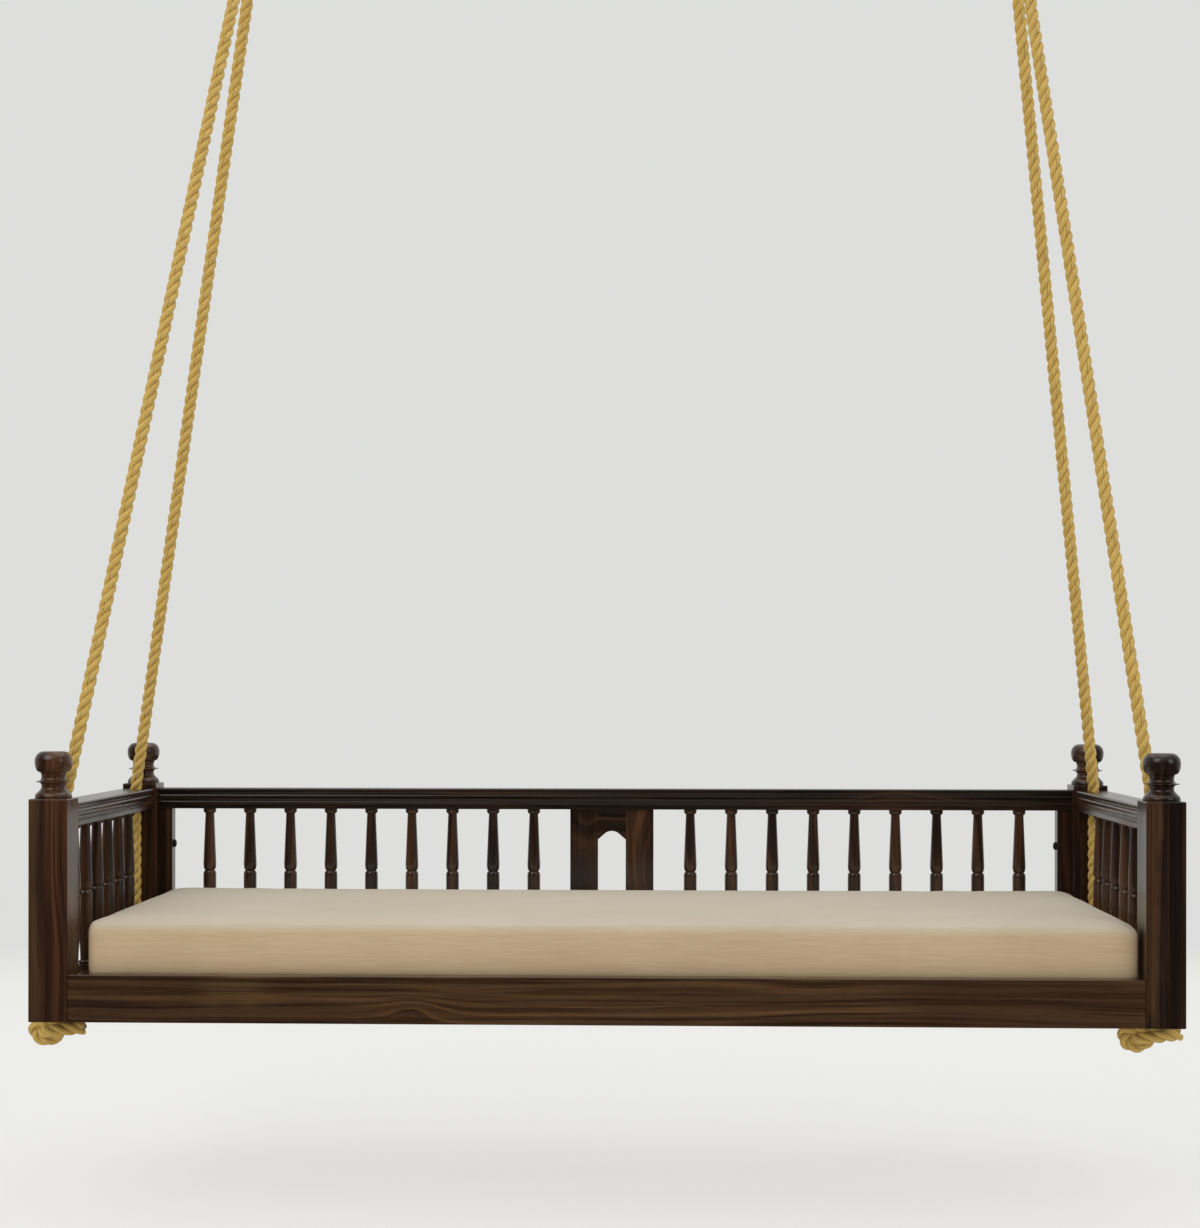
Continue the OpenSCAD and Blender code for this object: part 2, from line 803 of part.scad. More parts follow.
module side_rail(s) {
  color(WOOD)
    in_bed()
      difference() {
        translate([s * post_cx, 0, 0])
          rotate([0, 0, 90])
            plain_rail(2 * inner_y, side_rail_t, low_rail_h, low_tenon_h);
        side_pin_holes(s, low_rail_h, 1);
        rope_holes(s, 0, low_rail_h);
        translate([s * side_rail_in, bearer_y, slat_z - bearer_h / 2])
          rotate([0, 0, s == RIGHT ? 0 : 180])
            mortise(tenon_t, bearer_tenon_h, bearer_tenon_l);
      }
}

// ---- Moulded top rails ----

// A moulded rail's side from its underside up, each cut [kind, share of the moulding's depth, share of its height]:
// a plain band, a quirk, a broad bead, a quirk and a narrower bead under the top's rounding
MOULD = [
  [COVE, 1, 0.02], [LINE, 1, 0.22], [COVE, 0.43, 0.30], [ROUND, 0.73, 0.37], [LINE, 0.73, 0.40],
  [COVE, 0, 0.52], [LINE, 0, 0.59], [ROUND, 0.6, 0.70], [LINE, 0.6, 0.74],
  [COVE, 0, 0.83], [LINE, 0, 0.93], [ROUND, 0.8, 1]
];

// The rail's section in X and Y, to be drawn out along Z
module mould_section(w) {
  side = [for (p = outline([[0.8, 0]], MOULD)) [w / 2 - p[0] * mould_depth, p[1] * top_rail_h]];
  n = len(side);
  polygon(concat(side, [for (i = [n - 1 : -1 : 0]) [-side[i][0], side[i][1]]]));
}

// A moulded rail with its tenons along X, bottom at z = 0
module moulded_rail(l, w) {
  rotate([90, 0, 90])
    linear_extrude(l, center = true)
      mould_section(w);
  for (a = [0, 180])
    rotate([0, 0, a])
      translate([l / 2, 0, top_rail_h / 2])
        tenon(tenon_t, top_tenon_h, tenon_l);
}

module top_rail_back() {
  color(WOOD)
    in_bed()
      difference() {
        translate([0, post_cy, top_rail_z])
          moulded_rail(2 * inner_x, back_top_w);
        back_pin_holes(top_rail_z, -1);
        splat_holes(top_rail_z, -1);
      }
}

module top_rail_side(s) {
  color(WOOD)
    in_bed()
      difference() {
        translate([s * post_cx, 0, top_rail_z])
          rotate([0, 0, 90])
            moulded_rail(2 * inner_y, side_top_w);
        side_pin_holes(s, top_rail_z, -1);
        rope_holes(s, top_rail_z, top_z);
      }
}

// ---- Back panel ----

module stile(s) {
  color(WOOD)
    in_bed()
      difference() {
        translate([s * (inner_x - stile_w / 2), post_cy, (low_rail_h + top_rail_z) / 2])
          box([stile_w, stile_t, top_rail_z - low_rail_h]);
        for (z = [bolt_z_low, bolt_z_high])
          translate([s * (inner_x - stile_w / 2), post_cy, z])
            bar_x(stile_bolt_d / 2 + joint_gap, stile_w + 2 * CUT);
      }
}

// A round head with a domed top, standing on z = 0
module domed_head(r, h) {
  rotate_extrude()
    polygon(outline([[0, 0], [r - FINE, 0]], [[COVE, r, h / 4], [LINE, r, h / 3], [ROUND, 0, h]]));
}

module stile_bolts() {
  color(DARK_STEEL)
    in_bed()
      for (s = [LEFT, RIGHT], z = [bolt_z_low, bolt_z_high])
        translate([s * stile_in, post_cy, z]) {
          translate([s * (stile_w + bolt_reach) / 2, 0, 0])
            bar_x(stile_bolt_d / 2, stile_w + bolt_reach);
          rotate([0, -90 * s, 0])
            domed_head(stile_head_d / 2, stile_head_h);
        }
}

module splat_board(s) {
  color(WOOD)
    in_bed()
      translate([s * splat_cx, post_cy, (low_rail_h + top_rail_z) / 2]) {
        box([splat_w, splat_t, top_rail_z - low_rail_h]);
        box([stub_w, stub_t, top_rail_z - low_rail_h + 2 * stub_l]);
      }
}

// A block between the splat boards, its arch cut into the edge at z = 0, the block above it. The arch has straight
// sloping shoulders that run smoothly into its round top.
module arch_block() {
  w = splat_gap / 2;
  rise = w * tan(arch_slope) - arch_r * (1 / cos(arch_slope) - 1);
  rotate([90, 0, 0])
    linear_extrude(splat_t, center = true)
      polygon(concat(
        [[-w, 0], [-w, arch_h], [w, arch_h], [w, 0]],
        [
          for (i = [ARC_STEPS : -1 : -ARC_STEPS])
            let (t = arch_slope * i / ARC_STEPS)
              [arch_r * sin(t), rise - arch_r * (1 - cos(t))]
        ]
      ));
}

module splat_arch_upper() {
  color(WOOD)
    in_bed()
      translate([0, post_cy, top_rail_z - arch_h])
        arch_block();
}

module splat_arch_lower() {
  color(WOOD)
    in_bed()
      translate([0, post_cy, low_rail_h + arch_h])
        mirror([0, 0, 1])
          arch_block();
}

// ---- Spindles ----

// One turned spindle, its waist at z = 0: it swells from a narrow neck at each end to the shoulders beside its waist
module spindle() {
  r = spindle_d / 2;
  n = spindle_neck_d / 2;
  wa = spindle_waist_d / 2;
  pin = spindle_pin_d / 2;
  up = spindle_waist_z;
  dn = spindle_len - spindle_waist_z;
  foot = -dn + spindle_collar_h;
  ring = foot + spindle_ring_h;
  neck = up - spindle_collar_h;
  rotate_extrude()
    polygon(outline(
      [[0, -dn - spindle_pin_l], [pin, -dn - spindle_pin_l], [pin, -dn]],
      [
        [LINE, r - FINE, -dn], [COVE, r, FINE - dn], [LINE, r, foot - FINE], [ROUND, n + FINE, foot],
        [COVE, r - FINE, foot + spindle_ring_h / 2], [ROUND, n, ring], [OGEE, r, -spindle_shoulder_low - up / 4],
        [LINE, r, -spindle_shoulder_low], [ROUND, wa, -FINE / 2], [LINE, wa, FINE / 2],
        [COVE, r, spindle_shoulder_up], [LINE, n, neck], [COVE, r, up - spindle_band_h],
        [LINE, r, up], [LINE, pin, up], [LINE, pin, up + spindle_pin_l], [LINE, 0, up + spindle_pin_l]
      ]
    ));
}

module back_spindles(s) {
  color(WOOD)
    in_bed()
      for (i = [0 : back_spindles - 1])
        translate([s * (back_first + i * back_pitch), post_cy, spindle_at])
          spindle();
}

module side_spindles(s) {
  color(WOOD)
    in_bed()
      for (i = [0 : side_spindles - 1])
        translate([s * post_cx, side_y(i), spindle_at])
          spindle();
}

// ---- Deck ----

function slat_x(i) = -slat_run + i * 2 * slat_run / (slats - 1);

module slats() {
  color(SOFTWOOD)
    in_bed()
      difference() {
        for (i = [0 : slats - 1])
          translate([slat_x(i), (slat_y0 + slat_y1) / 2, slat_z + slat_t / 2])
            box([slat_w, slat_y1 - slat_y0, slat_t]);
        slat_screw_set(joint_gap);
      }
}

// The slats' screws, two at each end, made wider by gap for their holes
module slat_screw_set(gap) {
  for (i = [0 : slats - 1], y = [slat_y0 + cleat_w / 2, slat_y1 - cleat_w / 2])
    translate([slat_x(i), y, deck_z - screw_l - gap])
      cylinder(h = screw_l + 2 * gap, d = screw_d + 2 * gap);
}

module slat_screws() {
  color(DARK_STEEL)
    in_bed()
      slat_screw_set(0);
}

module bearer() {
  color(SOFTWOOD)
    in_bed()
      translate([0, bearer_y, slat_z - bearer_h / 2]) {
        box([2 * side_rail_in, bearer_w, bearer_h]);
        for (a = [0, 180])
          rotate([0, 0, a])
            translate([side_rail_in, 0, 0])
              tenon(tenon_t, bearer_tenon_h, bearer_tenon_l);
      }
}

// The cleats' screws along Y into their rails, midway between slats, made wider by gap for their holes
module cleat_screw_set(gap) {
  for (i = [0 : 2 : slats - 2], q = [FRONT, BACK])
    translate([
      (slat_x(i) + slat_x(i + 1)) / 2, q == FRONT ? front_rail_back : back_rail_front,
      slat_z - cleat_w / 2
    ])
      rotate([90 * q, 0, 0])
        translate([0, 0, -screw_bite - gap])
          cylinder(h = cleat_w + screw_bite + 2 * gap, d = screw_d + 2 * gap);
}

module cleat(q) {
  color(SOFTWOOD)
    in_bed()
      difference() {
        translate([
          0, q == FRONT ? front_rail_back + cleat_w / 2 : back_rail_front - cleat_w / 2,
          slat_z - cleat_w / 2
        ])
          box([cleat_l, cleat_w, cleat_w]);
        slat_screw_set(joint_gap);
        cleat_screw_set(joint_gap);
      }
}

module cleat_screws() {
  color(DARK_STEEL)
    in_bed()
      cleat_screw_set(0);
}

module mattress() {
  color(CLOTH)
    in_bed()
      translate([mattress_shift, mattress_y0 + mattress_w / 2, deck_z + seat_gap + mattress_t / 2])
        intersection() {
          linear_extrude(mattress_t, center = true)
            rounded_rect(mattress_l, mattress_w, mattress_r);
          rotate([90, 0, 0])
            linear_extrude(mattress_w, center = true)
              rounded_rect(mattress_l, mattress_t, mattress_r);
          rotate([90, 0, 90])
            linear_extrude(mattress_l, center = true)
              rounded_rect(mattress_w, mattress_t, mattress_r);
        }
}

ceiling_plate(LEFT);  // ceiling_plate_left
ceiling_plate(RIGHT);  // ceiling_plate_right
swing_pins();
swing_pin_nuts();
swing_link(LEFT);  // swing_link_left
swing_link(RIGHT);  // swing_link_right
rope_pin(LEFT);  // rope_pin_left
rope_pin(RIGHT);  // rope_pin_right
rope_pin_nut(LEFT);  // rope_pin_nut_left
rope_pin_nut(RIGHT);  // rope_pin_nut_right
rope(LEFT, FRONT);  // rope_front_left
rope(LEFT, BACK);  // rope_back_left
rope(RIGHT, FRONT);  // rope_front_right
rope(RIGHT, BACK);  // rope_back_right
thimbles(LEFT);  // thimbles_left
thimbles(RIGHT);  // thimbles_right
seizings(LEFT);  // seizings_left
seizings(RIGHT);  // seizings_right
post(LEFT, FRONT);  // post_front_left
post(RIGHT, FRONT);  // post_front_right
post(LEFT, BACK);  // post_back_left
post(RIGHT, BACK);  // post_back_right
front_rail();
back_rail();
side_rail(LEFT);  // side_rail_left
side_rail(RIGHT);  // side_rail_right
top_rail_back();
top_rail_side(LEFT);  // top_rail_left
top_rail_side(RIGHT);  // top_rail_right
stile(LEFT);  // stile_left
stile(RIGHT);  // stile_right
splat_board(LEFT);  // splat_board_left
splat_board(RIGHT);  // splat_board_right
splat_arch_upper();
splat_arch_lower();
back_spindles(LEFT);  // back_spindles_left
back_spindles(RIGHT);  // back_spindles_right
side_spindles(LEFT);  // side_spindles_left
side_spindles(RIGHT);  // side_spindles_right
stile_bolts();
slats();
bearer();
cleat(FRONT);  // cleat_front
cleat(BACK);  // cleat_back
slat_screws();
cleat_screws();
mattress();
rope_tail(LEFT, FRONT);  // rope_tail_front_left
rope_tail(LEFT, BACK);  // rope_tail_back_left
rope_tail(RIGHT, FRONT);  // rope_tail_front_right
rope_tail(RIGHT, BACK);  // rope_tail_back_right
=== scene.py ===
"""The looks of the hanging swing bed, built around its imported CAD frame.

The bed's pieces are drawn in the bed's own millimetres: X along the bed, Y from front to back, Z up from the posts'
feet, with the origin under the bed's middle. What hangs from the ceiling is drawn in millimetres from the ceiling.
Both are then placed in the shared frame, in metres.
"""

import logging
import math
from dataclasses import dataclass
from enum import Enum
from typing import Any, Sequence

import bmesh
import bpy
from mathutils import Matrix, Vector


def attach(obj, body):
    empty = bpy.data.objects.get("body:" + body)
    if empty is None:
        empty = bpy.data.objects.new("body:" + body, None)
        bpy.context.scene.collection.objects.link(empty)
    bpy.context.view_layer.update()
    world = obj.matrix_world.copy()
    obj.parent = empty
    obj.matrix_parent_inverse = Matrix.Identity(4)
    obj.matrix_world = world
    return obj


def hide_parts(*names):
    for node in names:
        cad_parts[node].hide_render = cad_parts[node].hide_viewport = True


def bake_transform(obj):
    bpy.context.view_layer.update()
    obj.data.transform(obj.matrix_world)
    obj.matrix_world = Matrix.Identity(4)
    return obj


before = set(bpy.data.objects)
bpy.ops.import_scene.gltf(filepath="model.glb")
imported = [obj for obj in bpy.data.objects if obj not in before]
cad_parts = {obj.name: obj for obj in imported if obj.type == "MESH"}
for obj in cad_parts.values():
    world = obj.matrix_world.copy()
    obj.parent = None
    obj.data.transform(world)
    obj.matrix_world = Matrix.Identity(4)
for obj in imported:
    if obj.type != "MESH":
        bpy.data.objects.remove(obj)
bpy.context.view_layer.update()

LOG = logging.getLogger("swing_bed")
MM = 0.001
HOOK_SHIFT = 35.0
BED_DROP = 2307.0
CEILING_SPACE = Matrix.Scale(MM, 4)
BED_SPACE = CEILING_SPACE @ Matrix.Translation((-HOOK_SHIFT, 0.0, -BED_DROP))
Colour = tuple[float, float, float]
Tint = tuple[int, int, int]
Point2 = tuple[float, float]
Point3 = tuple[float, float, float]
Stops = tuple[tuple[float, Tint], ...]
Mesh = bmesh.types.BMesh
Socket = bpy.types.NodeSocket


class Side(Enum):
    """The two ends of the bed, as seen from the front."""

    LEFT = -1
    RIGHT = 1


class Face(Enum):
    """The bed's two long sides."""

    FRONT = -1
    BACK = 1


class Grain(Enum):
    """The axis that a piece of wood's grain runs along, with the turn that brings it to X."""

    ALONG_X = (0.0, 0.0, 0.0)
    ALONG_Y = (0.0, 0.0, math.radians(-90))
    ALONG_Z = (0.0, math.radians(90), 0.0)


class Turn(Enum):
    """How one stretch of a turned or moulded outline gets from its start to its end."""

    LINE = "line"
    ROUND = "round"
    COVE = "cove"
    OGEE = "ogee"


class Joining(Enum):
    """What happens where a tool meets a piece."""

    TAKE_AWAY = "DIFFERENCE"
    KEEP_COMMON = "INTERSECT"
    ADD = "UNION"


class Shading(Enum):
    """The angle, in degrees, up to which a piece is shaded smooth."""

    NUT = 20.0
    SECTION = 30.0
    PLAIN = 35.0
    WORKED = 40.0
    FORGED = 50.0
    LAID = 60.0
    SOFT = 180.0


@dataclass(frozen=True)
class Cut:
    """One stretch of an outline, from where the last one ended to (r, z).

    ROUND leaves along Z and arrives along R, COVE leaves along R and arrives along Z, and OGEE does both along Z.
    """

    turn: Turn
    r: float
    z: float


@dataclass(frozen=True)
class BedSizes:
    """The bed's own measures in millimetres, named as in the CAD source."""

    bed_length: float = 2012
    bed_depth: float = 694
    hook_span: float = 1398
    post_w: float = 69
    post_h: float = 391
    front_rail_h: float = 83
    front_rail_t: float = 28
    rail_reveal: float = 2
    low_rail_h: float = 63
    side_rail_t: float = 50
    back_rail_t: float = 28
    top_rail_h: float = 42
    top_rail_drop: float = 10
    side_top_w: float = 63
    back_top_w: float = 40
    mould_depth: float = 3
    rope_inset: float = 30
    rope_d: float = 24
    rope_hole_gap: float = 1.5

    @property
    def post_cx(self) -> float:
        """X of a right post's middle."""
        return (self.bed_length - self.post_w) / 2

    @property
    def post_cy(self) -> float:
        """Y of a back post's middle."""
        return (self.bed_depth - self.post_w) / 2

    @property
    def inner_x(self) -> float:
        """X of a right post's inner face."""
        return self.bed_length / 2 - self.post_w

    @property
    def inner_y(self) -> float:
        """Y of a back post's inner face."""
        return self.bed_depth / 2 - self.post_w

    @property
    def top_z(self) -> float:
        """Height of the top rails' tops."""
        return self.post_h - self.top_rail_drop

    @property
    def top_rail_z(self) -> float:
        """Height of the top rails' undersides."""
        return self.top_z - self.top_rail_h

    @property
    def rope_y(self) -> float:
        """Y of a back rope's hole."""
        return self.inner_y - self.rope_inset

    @property
    def front_rail_y(self) -> float:
        """Y of the front rail's middle."""
        return -self.bed_depth / 2 + self.rail_reveal + self.front_rail_t / 2

    @property
    def front_rail_back(self) -> float:
        """Y of the front rail's back face."""
        return self.front_rail_y + self.front_rail_t / 2

    @property
    def back_rail_front(self) -> float:
        """Y of the back rail's front face."""
        return self.post_cy - self.back_rail_t / 2


SIZES = BedSizes()

# A curved stretch has at least this many parts, points nearer than this are one, and a bar's ends are sharper than this
LEAST_PARTS = 4
WELD_MM = 0.001
BAR_END_DEGREES = 60.0


# ---- Shaping ----


def lerp(a: float, b: float, share: float) -> float:
    """The value that lies share of the way from a to b."""
    return a + (b - a) * share


def outline(start: Point2, cuts: Sequence[Cut], step: float = 1.6) -> list[Point2]:
    """Draws a turned or moulded outline.

    Args:
        start: First point, as (radius or depth, height).
        cuts: The stretches that follow it.
        step: Greatest distance between two points of a curved stretch, in millimetres.

    Returns:
        The outline's points in order.
    """
    points = [start]
    for cut in cuts:
        r0, z0 = points[-1]
        if cut.turn is Turn.LINE:
            points.append((cut.r, cut.z))
            continue
        count = max(LEAST_PARTS, math.ceil(math.hypot(cut.r - r0, cut.z - z0) / step))
        for i in range(1, count + 1):
            share = i / count
            angle = share * math.pi / 2
            if cut.turn is Turn.ROUND:
                points.append((lerp(cut.r, r0, math.cos(angle)), lerp(z0, cut.z, math.sin(angle))))
            elif cut.turn is Turn.COVE:
                points.append((lerp(r0, cut.r, math.sin(angle)), lerp(cut.z, z0, math.cos(angle))))
            else:
                points.append((lerp(r0, cut.r, (1 - math.cos(2 * angle)) / 2), lerp(z0, cut.z, share)))
    return points


def new_box(size: Sequence[float], centre: Sequence[float], arris: float, segments: int = 3) -> Mesh:
    """A block with its edges rounded over.

    Args:
        size: Width along X, Y and Z.
        centre: Where its middle lies.
        arris: How far the rounding reaches from each edge.
        segments: Faces across each rounding.

    Returns:
        The block's mesh.
    """
    bm = bmesh.new()
    bmesh.ops.create_cube(bm, size=1.0)
    bmesh.ops.scale(bm, vec=size, verts=bm.verts)
    bmesh.ops.translate(bm, vec=centre, verts=bm.verts)
    if arris > 0:
        round_edges(bm, list(bm.edges), arris, segments)
    return bm


def round_edges(bm: Mesh, edges: list, arris: float, segments: int) -> None:
    """Rounds the given edges over."""
    bmesh.ops.bevel(
        bm, geom=edges, offset=arris, offset_type="OFFSET", segments=segments, profile=0.5, affect="EDGES",
        material=-1, clamp_overlap=True,
    )


def round_sharp(bm: Mesh, arris: float, segments: int, sharper_than: float = 40.0) -> None:
    """Rounds every edge over that is sharper than the given angle."""
    limit = math.radians(sharper_than)
    edges = [e for e in bm.edges if len(e.link_faces) == 2 and e.calc_face_angle() > limit]
    round_edges(bm, edges, arris, segments)


def new_turning(points: Sequence[Point2], steps: int = 48) -> Mesh:
    """A piece turned on a lathe about Z.

    Args:
        points: Its outline as (radius, height); the ends lie on the axis, or the last point repeats the first.
        steps: Faces round it.

    Returns:
        The turning's closed mesh.
    """
    bm = bmesh.new()
    verts = [bm.verts.new((r, 0.0, z)) for r, z in points]
    edges = [bm.edges.new(pair) for pair in zip(verts, verts[1:])]
    bmesh.ops.spin(
        bm, geom=verts + edges, cent=(0, 0, 0), axis=(0, 0, 1), dvec=(0, 0, 0), angle=math.tau, steps=steps,
        use_merge=True, use_duplicate=False,
    )
    bmesh.ops.remove_doubles(bm, verts=bm.verts, dist=WELD_MM)
    bmesh.ops.recalc_face_normals(bm, faces=bm.faces)
    return bm


def new_bar(radius: float, length: float, segments: int = 40, arris: float = 0.0) -> Mesh:
    """A round bar along Z, centred, with its ends rounded over."""
    bm = bmesh.new()
    bmesh.ops.create_cone(bm, cap_ends=True, segments=segments, radius1=radius, radius2=radius, depth=length)
    if arris > 0:
        round_sharp(bm, arris, 3, BAR_END_DEGREES)
    return bm


def new_extrusion(points: Sequence[Point2], length: float) -> Mesh:
    """A section in Y and Z, given as points, drawn out along X and centred on X."""
    bm = bmesh.new()
    verts = [bm.verts.new((-length / 2, y, z)) for y, z in points]
    face = bm.faces.new(verts)
    made = bmesh.ops.extrude_face_region(bm, geom=[face])["geom"]
    bmesh.ops.translate(bm, vec=(length, 0, 0), verts=[g for g in made if isinstance(g, bmesh.types.BMVert)])
    bmesh.ops.recalc_face_normals(bm, faces=bm.faces)
    return bm


def merge(target: Mesh, source: Mesh, place: Matrix, keep: bool = False) -> None:
    """Adds a copy of source to target, moved by place, and frees source unless it is kept."""
    mesh = bpy.data.meshes.new("carrier")
    source.to_mesh(mesh)
    mesh.transform(place)
    target.from_mesh(mesh)
    bpy.data.meshes.remove(mesh)
    if not keep:
        source.free()


def placed(place: Matrix, bm: Mesh) -> Mesh:
    """The same mesh, moved by place."""
    bmesh.ops.transform(bm, matrix=place, verts=bm.verts)
    return bm


def moved(x: float, y: float, z: float) -> Matrix:
    """A plain move."""
    return Matrix.Translation((x, y, z))


def turned(degrees: float, axis: str) -> Matrix:
    """A plain turn about an axis through the origin."""
    return Matrix.Rotation(math.radians(degrees), 4, axis)


def apply_modifiers(obj: bpy.types.Object) -> None:
    """Makes what an object's modifiers show its own mesh."""
    graph = bpy.context.evaluated_depsgraph_get()
    mesh = bpy.data.meshes.new_from_object(obj.evaluated_get(graph), depsgraph=graph)
    obj.modifiers.clear()
    old, obj.data = obj.data, mesh
    bpy.data.meshes.remove(old)
    mesh.name = obj.name


def new_object(bm: Mesh, name: str, space: Matrix, shading: Shading = Shading.PLAIN) -> bpy.types.Object:
    """Makes an object of a mesh in millimetres, placed in the shared frame, and frees the mesh."""
    bmesh.ops.transform(bm, matrix=space, verts=bm.verts)
    mesh = bpy.data.meshes.new(name)
    bm.to_mesh(mesh)
    bm.free()
    smooth(mesh, shading)
    obj = bpy.data.objects.new(name, mesh)
    bpy.context.scene.collection.objects.link(obj)
    return obj


def smooth(mesh: bpy.types.Mesh, shading: Shading) -> None:
    """Shades a mesh smooth, apart from its sharper edges."""
    mesh.shade_smooth()
    mesh.set_sharp_from_angle(angle=math.radians(shading.value))


def join(obj: bpy.types.Object, tool: Mesh, space: Matrix, joining: Joining,
         shading: Shading = Shading.PLAIN) -> None:
    """Cuts or joins an object with a closed mesh in millimetres."""
    cutter = new_object(tool, "tool", space)
    modifier = obj.modifiers.new("joining", "BOOLEAN")
    modifier.operation = joining.value
    modifier.solver = "EXACT"
    modifier.use_self = True
    modifier.object = cutter
    apply_modifiers(obj)
    bpy.data.objects.remove(cutter)
    smooth(obj.data, shading)


def weighted(obj: bpy.types.Object) -> None:
    """Keeps broad flat faces flat beside their rounded edges."""
    modifier = obj.modifiers.new("flat faces", "WEIGHTED_NORMAL")
    modifier.keep_sharp = True
    modifier.weight = 80


@dataclass(frozen=True)
class Belonging:
    """What a finished piece moves with, which CAD nodes it stands for, and the slot of its finish."""

    body: str
    nodes: tuple[str, ...]
    slot: str


def publish(obj: bpy.types.Object, material: bpy.types.Material, belonging: Belonging) -> None:
    """Dresses a piece and gives it to its body."""
    obj.data.materials.clear()
    obj.data.materials.append(material)
    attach(obj, belonging.body)
    declare(obj, belonging)


def declare(obj: bpy.types.Object, belonging: Belonging) -> None:
    """Hides the CAD nodes that a piece stands for, and reports it."""
    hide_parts(*belonging.nodes)
    LOG.info("%s: %d faces, moves with %s", obj.name, len(obj.data.polygons), belonging.body)


def dress_node(name: str, material: bpy.types.Material) -> None:
    """Gives a carried-over CAD node its material."""
    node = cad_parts[name]
    node.data.materials.clear()
    node.data.materials.append(material)
    LOG.info("%s: dressed", name)


# ---- Finishes ----


def srgb(red: int, green: int, blue: int) -> tuple[float, float, float, float]:
    """A screen colour, 0 to 255, as the linear colour that a socket takes."""
    shares = (red / 255, green / 255, blue / 255)
    linear = [c / 12.92 if c <= 0.04045 else ((c + 0.055) / 1.055) ** 2.4 for c in shares]
    return (linear[0], linear[1], linear[2], 1.0)


class Graph:
    """A short hand for wiring one node tree."""

    def __init__(self, tree: bpy.types.NodeTree) -> None:
        """Starts on a tree."""
        self.tree = tree

    def add(self, kind: str, inputs: dict[Any, Any] | None = None, **settings: Any) -> bpy.types.Node:
        """Adds a node.

        Args:
            kind: The node's type, without its ShaderNode prefix.
            inputs: Socket name or number to a value, or to the socket that feeds it.
            **settings: The node's own properties, set before its inputs.

        Returns:
            The node.
        """
        node = self.tree.nodes.new(f"ShaderNode{kind}")
        for name, value in settings.items():
            setattr(node, name, value)
        self.feed_all(node, inputs or {})
        return node

    def feed(self, socket: Socket, value: Any) -> None:
        """Links a socket, or sets its value."""
        if isinstance(value, Socket):
            self.tree.links.new(value, socket)
        else:
            socket.default_value = value

    def feed_all(self, node: bpy.types.Node, values: dict[Any, Any]) -> None:
        """Links or sets several inputs of a node, each by its name or number."""
        for key, value in values.items():
            self.feed(node.inputs[key], value)

    def math(self, operation: str, a: Any, b: Any = 0.0, clamp: bool = False) -> Socket:
        """One number made of two."""
        return self.add("Math", {0: a, 1: b}, operation=operation, use_clamp=clamp).outputs[0]

    def plus(self, a: Any, b: Any, clamp: bool = False) -> Socket:
        """Two numbers' sum."""
        return self.math("ADD", a, b, clamp)

    def minus(self, a: Any, b: Any) -> Socket:
        """Two numbers' difference."""
        return self.math("SUBTRACT", a, b)

    def times(self, a: Any, b: Any, clamp: bool = False) -> Socket:
        """Two numbers' product."""
        return self.math("MULTIPLY", a, b, clamp)

    def vector(self, operation: str, a: Any, b: Any) -> Socket:
        """One vector made of two."""
        return self.add("VectorMath", {0: a, 1: b}, operation=operation).outputs[0]

    def length(self, vector: Any) -> Socket:
        """A vector's length."""
        return self.add("VectorMath", {0: vector}, operation="LENGTH").outputs["Value"]

    def xyz(self, vector: Any) -> Any:
        """A vector's three parts."""
        return self.add("SeparateXYZ", {0: vector}).outputs

    def place(self) -> Socket:
        """Where a point lies in its object, in metres."""
        return self.add("TexCoord").outputs["Object"]

    def ramp(self, factor: Any, stops: Stops) -> Socket:
        """A colour that follows a number through the given stops."""
        node = self.add("ValToRGB", {0: factor})
        elements = node.color_ramp.elements
        while len(elements) < len(stops):
            elements.new(0.5)
        for element, (position, tint) in zip(elements, stops):
            element.position = position
            element.color = srgb(*tint)
        return node.outputs[0]

    def between(self, value: Any, low: float, high: float, to_low: float = 0.0, to_high: float = 1.0) -> Socket:
        """A number taken from one range to another and held there."""
        inputs = {0: value, 1: low, 2: high, 3: to_low, 4: to_high}
        return self.add("MapRange", inputs, interpolation_type="SMOOTHSTEP").outputs[0]

    def blend(self, factor: Any, a: Any, b: Any) -> Socket:
        """Two colours mixed."""
        return self.add("Mix", {"Factor": factor, 6: a, 7: b}, data_type="RGBA", blend_type="MIX").outputs[2]

    def noise(self, vector: Any, scale: float = 1.0, detail: float = 2.0, roughness: float = 0.5,
              seed: Any = 0.0, stretch: Point3 | None = None) -> Socket:
        """A noise of one value, from about 0 to 1.

        Args:
            vector: Where it is read.
            scale: How fine it is.
            detail: How many finer noises lie over it.
            roughness: How much these count.
            seed: Which noise it is.
            stretch: Factors for the vector's three parts, where they differ.

        Returns:
            Its value.
        """
        if stretch:
            vector = self.vector("MULTIPLY", vector, stretch)
        inputs = {"Vector": vector, "Scale": scale, "Detail": detail, "Roughness": roughness, "W": seed}
        return self.add("TexNoise", inputs, noise_dimensions="4D").outputs[0]

    def bump(self, shader: bpy.types.Node, height: Any, strength: float, distance: float) -> None:
        """Feeds a shader's normal from a height."""
        inputs = {"Strength": strength, "Distance": distance, "Height": height}
        self.feed(shader.inputs["Normal"], self.add("Bump", inputs).outputs[0])


